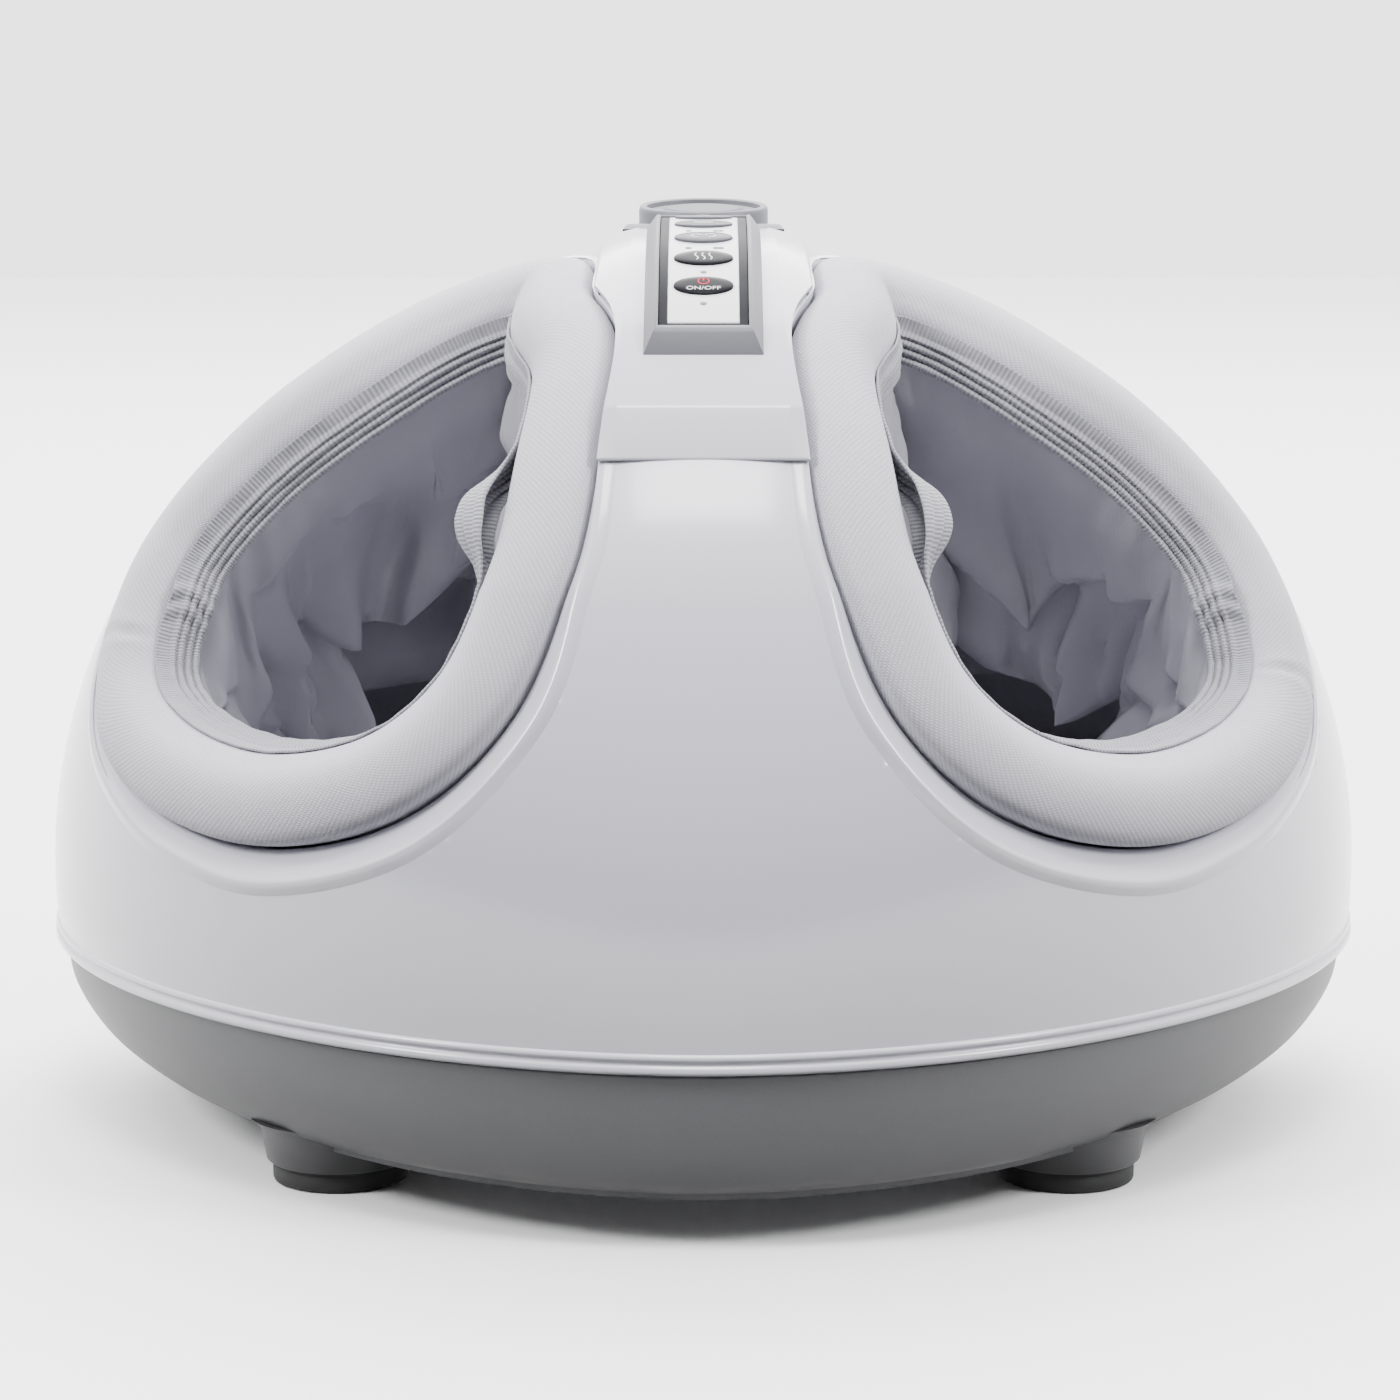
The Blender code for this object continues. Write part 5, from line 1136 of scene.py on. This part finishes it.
    def fold(self, side, share, t):
        """How far the cloth stands in from the pocket's plain wall, and how far it sags."""
        turn = 2 * math.pi * share
        x, y = math.cos(turn), math.sin(turn)
        wander = noise.noise(Vector((x * 2.1, y * 2.1 + side, t * 2.6)))
        narrow = math.sin(11 * turn - 3.1 * t + 1.7 * math.sin(2 * turn))
        lobes = noise.noise(Vector((x * 3.1 + 1.5 * t, y * 3.1 + 3 * side, t * 3.8)))
        small = noise.noise(Vector((x * 6.0 - 2.0 * t, y * 6.0 + side, t * 6.5)))
        depth = 0.0030 + 0.0050 * wander + 0.0012 * narrow + 0.0290 * abs(lobes) + 0.0060 * abs(small)
        sag = 0.0
        for place, wide, level, tall, rise, tilt in POCKET_FOLDS[side]:
            gap = apart(share, place)
            here = math.exp(-(abs(gap / wide) ** 3)) * rise
            below = (t - level - tilt * gap) / tall
            depth += here * math.exp(-((below / (1.0 if below < 0 else 0.42)) ** 2))
            sag += here * 0.7 * math.exp(-(((below - 0.1) / 0.55) ** 2))
        seam = POCKET_SEAMS[side]
        run = math.exp(-(((share - seam) / 0.055) ** 4))
        drift = (t - 0.555 - 0.25 * (seam - share) * side - 0.010 * math.sin(share * 210)) / 0.016
        depth -= run * 0.0065 * math.exp(-drift * drift) * (1 + 0.5 * math.sin(share * 330))
        envelope = math.sin(math.pi * min(t * 1.02, 1)) ** 0.6
        return envelope * depth, envelope * sag


# Console and crown

def frame_strip(dome, inner, section, loops=(10, 26), bars=(1.0, 1.0)):
    """A mitred frame round a strip of the spine: section gives (outward, lift) round the frame's bar."""
    half, start, end = inner
    short, tall = loops
    corners = []
    for way, first, last in ((1, start, end), (-1, end, start)):
        for k in range(tall):
            corners.append((way * half, first + (last - first) * k / tall, way, -way if k == 0 else 0))
        for k in range(short):
            corners.append((way * (half - 2 * half * k / short), last, way if k == 0 else 0, way))
    total, sides = len(corners), len(section)

    def place(u, v):
        across, angle, out_x, out_y = corners[round(u * total) % total]
        outward, lift = section[round(v * sides) % sides]
        per_turn = (dome.spine(angle + 0.01) - dome.spine(angle)).length / 0.01
        stretch = bars[0] if out_y < 0 else bars[1]
        return dome.spine(angle + out_y * outward * stretch / per_turn, across + out_x * outward, lift)

    return skin(total, sides, place)


class MASSAGER_OT_console(bpy.types.Operator):
    """Silver bezel, black inlay, pale label and the five buttons with their symbols"""

    bl_idname = "massager.console"
    bl_label = "Console"

    def execute(self, context):
        dome = Dome()
        silver = finish("silver_paint", silver_paint)
        low = sizes().pod_rise + 0.0002
        top = low + BEZEL_RISE
        inner = (BEZEL_HALF_WIDTH, LABEL_START - math.radians(0.55), LABEL_END + math.radians(0.35))
        section = (
            (0.0, low + 0.0012), (0.0, top - 0.0003), (0.0004, top), (0.0011, top + 0.0001),
            (0.0016, top - 0.0003), (0.0040, low + 0.0006), (0.0044, low), (0.0044, low - 0.0008),
            (0.0, low - 0.0008),
        )
        bezel = frame_strip(dome, inner, section, bars=BEZEL_BARS)
        add_piece("bezel", bezel, silver, ("console_bezel",), sharp=28)
        black = finish("gloss_black", gloss_black)
        border = frame_strip(dome, (LABEL_HALF_WIDTH + 0.0001, LABEL_START, LABEL_END), BORDER_SECTION)
        add_piece("black_border", border, black, ("console_inlay",))
        self.label(dome)
        for k, name in enumerate(BUTTONS):
            self.button(dome, k, name)
        return {"FINISHED"}

    def label(self, dome):
        def place(u, v):
            angle = LABEL_START + (LABEL_END - LABEL_START) * v
            return dome.spine(angle, LABEL_HALF_WIDTH * (2 * u - 1), FACE_LIFT)

        foil = finish("foil_label", foil_label)
        label = add_piece("label", skin(24, 90, place), foil, ("console_label",), outward=False)
        thicken(label, 0.0012)
        lamp = finish("lamp_grey", plain_gloss, "lamp_grey", (0.22, 0.22, 0.25))
        for k, across in INDICATORS:
            angle = button_angle(k) + math.radians(INDICATOR_OVER)
            if k < 0:
                angle = button_angle(0) - math.radians(INDICATOR_UNDER)
            mark = turned(((0.0, 0.00012), (0.0009, 0.00012), (0.0011, 0.0), (0.0, 0.0)), 20)
            self.lay(dome, mark, angle, across, FACE_LIFT)
            name = "lamp_%d_%d" % (k + 1, round(across * 1000) + 9)
            add_piece(name, mark, lamp)

    def lay(self, dome, bm, angle, across, lift):
        """Lays a small flat shape on the console's face."""
        base = dome.spine(angle, across, lift)
        up = dome.spine_up(angle)
        along = Vector((1, 0, 0)).cross(up).normalized()
        if along.y < 0:
            along.negate()
        for vertex in bm.verts:
            x, y, z = vertex.co
            vertex.co = base + Vector((x, 0, 0)) + along * y + up * z

    def button(self, dome, k, name):
        angle = button_angle(k)
        body = turned(BUTTON_SECTION, 72)
        for vertex in body.verts:
            vertex.co.x *= BUTTON_HALF[0]
            vertex.co.y *= BUTTON_HALF[1]
        self.lay(dome, body, angle, 0.0, FACE_LIFT + BUTTON_PROUD)
        tone = (0.012, 0.012, 0.015) if k < 2 else (0.10, 0.10, 0.115)
        material = finish("button_%s" % name, plain_gloss, "button_%s" % name, tone, 0.22)
        rides = name + "_key"
        add_piece("key_" + name, body, material, ("button_" + name,), body=rides)
        white = finish("print_white", plain_gloss, "print_white", (0.80, 0.80, 0.82), 0.4)
        red = finish("print_red", plain_gloss, "print_red", tuple(colours().glyph), 0.4)
        for part, shape, ink in button_symbols(name):
            self.lay(dome, shape, angle, 0.0, FACE_LIFT + SYMBOL_PROUD)
            paint = red if ink == "red" else white
            add_piece("mark_%s_%s" % (name, part), shape, paint, body=rides, outward=False)


def button_angle(k):
    return math.radians(BUTTON_START + BUTTON_PITCH * k)


def arc(radius, width, start, end, centre=(0.0, 0.0), steps=24):
    """A flat arc, spun from a short edge."""
    bm = bmesh.new()
    a = bm.verts.new((radius - width / 2, 0, 0))
    b = bm.verts.new((radius + width / 2, 0, 0))
    edge = bm.edges.new((a, b))
    bmesh.ops.rotate(bm, verts=bm.verts, cent=(0, 0, 0), matrix=Matrix.Rotation(start, 3, "Z"))
    bmesh.ops.spin(bm, geom=[a, b, edge], cent=(0, 0, 0), axis=(0, 0, 1), angle=end - start, steps=steps)
    bmesh.ops.translate(bm, verts=bm.verts, vec=(*centre, 0))
    return flat_up(bm)


def stroke(points, width):
    """A flat stroke of even width through a few points."""
    count = len(points) - 1

    def place(u, v):
        i = round(u * count)
        here = Vector(points[i])
        ahead = Vector(points[min(i + 1, count)]) - Vector(points[max(i - 1, 0)])
        side = Vector((-ahead.y, ahead.x)).normalized() * width * (v - 0.5)
        return Vector((here.x + side.x, here.y + side.y, 0))

    return flat_up(skin(count, 1, place))


def flat_up(bm):
    for face in bm.faces:
        face.normal_update()
        if face.normal.z < 0:
            face.normal_flip()
    return bm


def flat_text(words, height):
    """Plain lettering as a flat mesh, centred."""
    curve = bpy.data.curves.new("words", "FONT")
    curve.body = words
    curve.size = height
    curve.align_x = "CENTER"
    curve.align_y = "CENTER"
    holder = bpy.data.objects.new("words", curve)
    bpy.context.scene.collection.objects.link(holder)
    bpy.context.view_layer.update()
    graph = bpy.context.evaluated_depsgraph_get()
    mesh = bpy.data.meshes.new_from_object(holder.evaluated_get(graph))
    bm = bmesh.new()
    bm.from_mesh(mesh)
    bpy.data.objects.remove(holder)
    bpy.data.meshes.remove(mesh)
    return flat_up(bm)


def button_symbols(name):
    """(part, flat shape, ink) of each mark on a button."""
    thin = 0.00042
    if name == "power":
        words = flat_text("ON/OFF", 0.0030)
        bmesh.ops.translate(words, verts=words.verts, vec=(0, -0.0026, 0))
        ring = arc(0.0017, thin * 1.2, math.radians(120), math.radians(420), (0, 0.0017))
        bar = stroke(((0, 0.0019), (0, 0.0027), (0, 0.0040)), thin * 1.2)
        return [("ring", ring, "red"), ("bar", bar, "red"), ("words", words, "white")]
    if name == "heat":
        waves = []
        for k in range(3):
            x = (k - 1) * 0.0022
            points = [
                (x + 0.0005 * math.sin(i / 12 * 2 * math.pi), -0.0026 + 0.0052 * i / 12) for i in range(13)
            ]
            waves.append(("wave_%d" % k, stroke(points, thin), "white"))
        return waves
    if name == "massage":
        return [
            ("left", arc(0.0016, thin, 0.4, 5.2, (-0.0022, 0)), "white"),
            ("right", arc(0.0016, thin, -2.0, 2.8, (0.0022, 0)), "white"),
        ]
    if name == "air":
        lines = []
        for k in range(3):
            y = 0.0013 * (k - 1)
            points = [
                (-0.0032 + 0.0064 * i / 16, y + 0.0003 * math.sin(i / 16 * 4 * math.pi)) for i in range(17)
            ]
            lines.append(("breeze_%d" % k, stroke(points, thin), "white"))
        return lines
    return [
        ("dial", arc(0.0021, thin, 0, 2 * math.pi, steps=40), "white"),
        ("hand", stroke(((0, 0), (0, 0.0008), (0, 0.0016)), thin), "white"),
    ]


class MASSAGER_OT_crown(bpy.types.Operator):
    """Round silver crown behind the console, with the trim that it stands in"""

    bl_idname = "massager.crown"
    bl_label = "Crown"

    def execute(self, context):
        dome = Dome()
        silver = finish("silver_paint", silver_paint)
        dull = finish("dull_silver", plain_gloss, "dull_silver", (0.17, 0.17, 0.19), 0.42)
        low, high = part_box("crown_disc")
        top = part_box("crown_ring")[1].z
        centre = Vector((0, (low.y + high.y) / 2, top - CROWN_HEIGHT - CROWN_TILT_RISE))
        tilt = math.radians(CROWN_TILT)
        ring = moved(turned(CROWN_SECTION, 128), centre, tilt)
        add_piece("crown", ring, silver, ("crown_ring",), sharp=40)
        disc = moved(turned(CROWN_FACE_SECTION, 128), centre, tilt)
        add_piece("crown_face", disc, dull, ("crown_disc",), sharp=30)
        self.trim(dome, silver)
        return {"FINISHED"}

    def trim(self, dome, silver):
        start = CONSOLE_END + math.radians(0.3)
        end = math.acos(-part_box("back_trim")[1].y / dome.half_y)
        lift = sizes().pod_rise + 0.0001

        def place(u, v):
            across, high = TRIM_SECTION[round(u * (len(TRIM_SECTION) - 1))]
            edge = min(v / 0.06, (1 - v) / 0.06, 1)
            return dome.spine(start + (end - start) * v, across * TRIM_HALF_WIDTH, lift + high * edge)

        body = skin(len(TRIM_SECTION) - 1, 40, place)
        add_piece("back_trim_cover", body, silver, ("back_trim",), sharp=30, outward=False)


class MASSAGER_OT_bags(bpy.types.Operator):
    """Air bags beside the foot pockets, welded flat round their edges"""

    bl_idname = "massager.bags"
    bl_label = "Air bags"

    def execute(self, context):
        film = finish("welded_film", welded_film)
        for side_name, _ in SIDES:
            for kind in ("outer", "inner"):
                node = "%s_air_bag_%s" % (kind, side_name)
                low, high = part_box(node)
                middle, half = (low + high) / 2, (high - low) / 2

                def place(u, v):
                    angle = 2 * math.pi * u
                    spread = 1 - abs(2 * v - 1)
                    share = min(spread * 1.08, 1.0) if spread < 0.93 else 1.0
                    across = signed_power(math.cos(angle), 0.7) * half.y * share
                    high_up = signed_power(math.sin(angle), 0.7) * half.z * share
                    full = max(1 - (share / 0.95) ** 4, 0) ** 0.5
                    pucker = 0.05 * math.sin(angle * 26) * max(share - 0.6, 0) * full
                    thick = max((half.x - 0.0002) * full * (1 - pucker), 0.0004)
                    return middle + Vector((math.copysign(thick, v - 0.5), across, high_up))

                name = "bag_%s_%s" % (kind, side_name)
                bag = add_piece(name, skin(104, 40, place), film, (node,), sharp=70)
        return {"FINISHED"}


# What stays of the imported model, with its own finishes

class MASSAGER_OT_inner(bpy.types.Operator):
    """Finishes of the socket, the drive, the air system and the boards"""

    bl_idname = "massager.inner"
    bl_label = "Inner pieces"

    def execute(self, context):
        plastic = finish("inner_plastic", grained_plastic, "inner_plastic", (0.30, 0.31, 0.33))
        acetal = finish("acetal", grained_plastic, "acetal", (0.72, 0.71, 0.65), 0.42, 0.00002)
        steel = finish("zinc_steel", zinc_steel)
        green = finish("circuit_green", circuit_green)
        black = finish("gloss_black", gloss_black)
        kinds = (
            (("ring_frame", "gear_deck", "massage_plate", "kneading_head", "air_pump", "air_valve"), plastic),
            (("worm_wheel", "kneading_gear", "drive_worm"), acetal),
            (("drive_motor", "power_supply"), steel),
            (("control_board", "main_board"), green),
            (("power_inlet",), black),
        )
        for name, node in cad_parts.items():
            if node.hide_render:
                continue
            for starts, material in kinds:
                if name.startswith(starts):
                    node.data.materials.clear()
                    node.data.materials.append(material)
        return {"FINISHED"}


class MASSAGER_OT_stage(bpy.types.Operator):
    """Pale floor, soft studio light and the camera"""

    bl_idname = "massager.stage"
    bl_label = "Stage"

    def execute(self, context):
        scene = context.scene
        bm = bmesh.new()
        bmesh.ops.create_grid(bm, x_segments=1, y_segments=1, size=6.0)
        mesh = bpy.data.meshes.new("floor")
        bm.to_mesh(mesh)
        bm.free()
        floor = bpy.data.objects.new("floor", mesh)
        pale = Finish("pale_floor", (0.93, 0.93, 0.93), 0.9)
        mesh.materials.append(pale.shade(pale.speckle(3), 0.995, 1.0).made)
        scene.collection.objects.link(floor)
        floor.visible_diffuse = False
        world = bpy.data.worlds.new("studio")
        world.use_nodes = True
        tree = world.node_tree
        tree.nodes["Background"].inputs["Color"].default_value = (1.0, 1.0, 1.0, 1.0)
        source = tree.nodes.new("ShaderNodeTexCoord")
        toward = tree.nodes.new("ShaderNodeVectorMath")
        toward.operation = "DOT_PRODUCT"
        toward.inputs[1].default_value = SKY_BRIGHT_SIDE
        spread = tree.nodes.new("ShaderNodeMapRange")
        for socket, value in SKY_SPREAD.items():
            spread.inputs[socket].default_value = value
        tree.links.new(source.outputs["Generated"], toward.inputs[0])
        tree.links.new(toward.outputs["Value"], spread.inputs["Value"])
        tree.links.new(spread.outputs["Result"], tree.nodes["Background"].inputs["Strength"])
        scene.world = world
        for name, point, aim, size, power in STUDIO:
            lamp = bpy.data.lights.new(name, "AREA")
            lamp.shape = "RECTANGLE"
            lamp.size, lamp.size_y = size
            lamp.energy = power
            holder = bpy.data.objects.new(name, lamp)
            holder.location = point
            holder.rotation_euler = (Vector(aim) - Vector(point)).to_track_quat("-Z", "Y").to_euler()
            scene.collection.objects.link(holder)
        camera = bpy.data.cameras.new("camera")
        camera.sensor_width = 36
        camera.lens = CAMERA_LENS
        camera.shift_x = CAMERA_SHIFT
        holder = bpy.data.objects.new("camera", camera)
        holder.location = CAMERA_PLACE
        holder.rotation_euler = (math.radians(90 - CAMERA_DOWN), 0, 0)
        scene.collection.objects.link(holder)
        scene.camera = holder
        return {"FINISHED"}


class MASSAGER_PT_panel(bpy.types.Panel):
    """The pieces in the order that they are built"""

    bl_idname = "MASSAGER_PT_panel"
    bl_label = "Foot Massager"
    bl_space_type = "VIEW_3D"
    bl_region_type = "UI"
    bl_category = "Massager"

    def draw(self, context):
        layout = self.layout
        settings = context.scene.massager
        for group in (settings.sizes, settings.colours, settings.detail):
            box_layout = layout.box()
            for name in group.__annotations__:
                box_layout.prop(group, name)
        for operator in OPERATORS:
            layout.operator(operator.bl_idname)


OPERATORS = (
    MASSAGER_OT_stage, MASSAGER_OT_shell, MASSAGER_OT_base, MASSAGER_OT_rings, MASSAGER_OT_bands,
    MASSAGER_OT_pockets, MASSAGER_OT_console, MASSAGER_OT_crown, MASSAGER_OT_bags, MASSAGER_OT_inner,
)
GROUPS = (MassagerSizes, MassagerColours, MassagerDetail, MassagerSettings)


def register():
    for made in GROUPS + OPERATORS + (MASSAGER_PT_panel,):
        bpy.utils.register_class(made)
    bpy.types.Scene.massager = PointerProperty(type=MassagerSettings)


def unregister():
    del bpy.types.Scene.massager
    for made in reversed(GROUPS + OPERATORS + (MASSAGER_PT_panel,)):
        bpy.utils.unregister_class(made)


def main():
    register()
    bpy.ops.massager.stage()
    bpy.ops.massager.shell()
    bpy.ops.massager.base()
    bpy.ops.massager.rings()
    bpy.ops.massager.bands()
    bpy.ops.massager.pockets()
    bpy.ops.massager.console()
    bpy.ops.massager.crown()
    bpy.ops.massager.bags()
    bpy.ops.massager.inner()


if __name__ == "__main__":
    main()
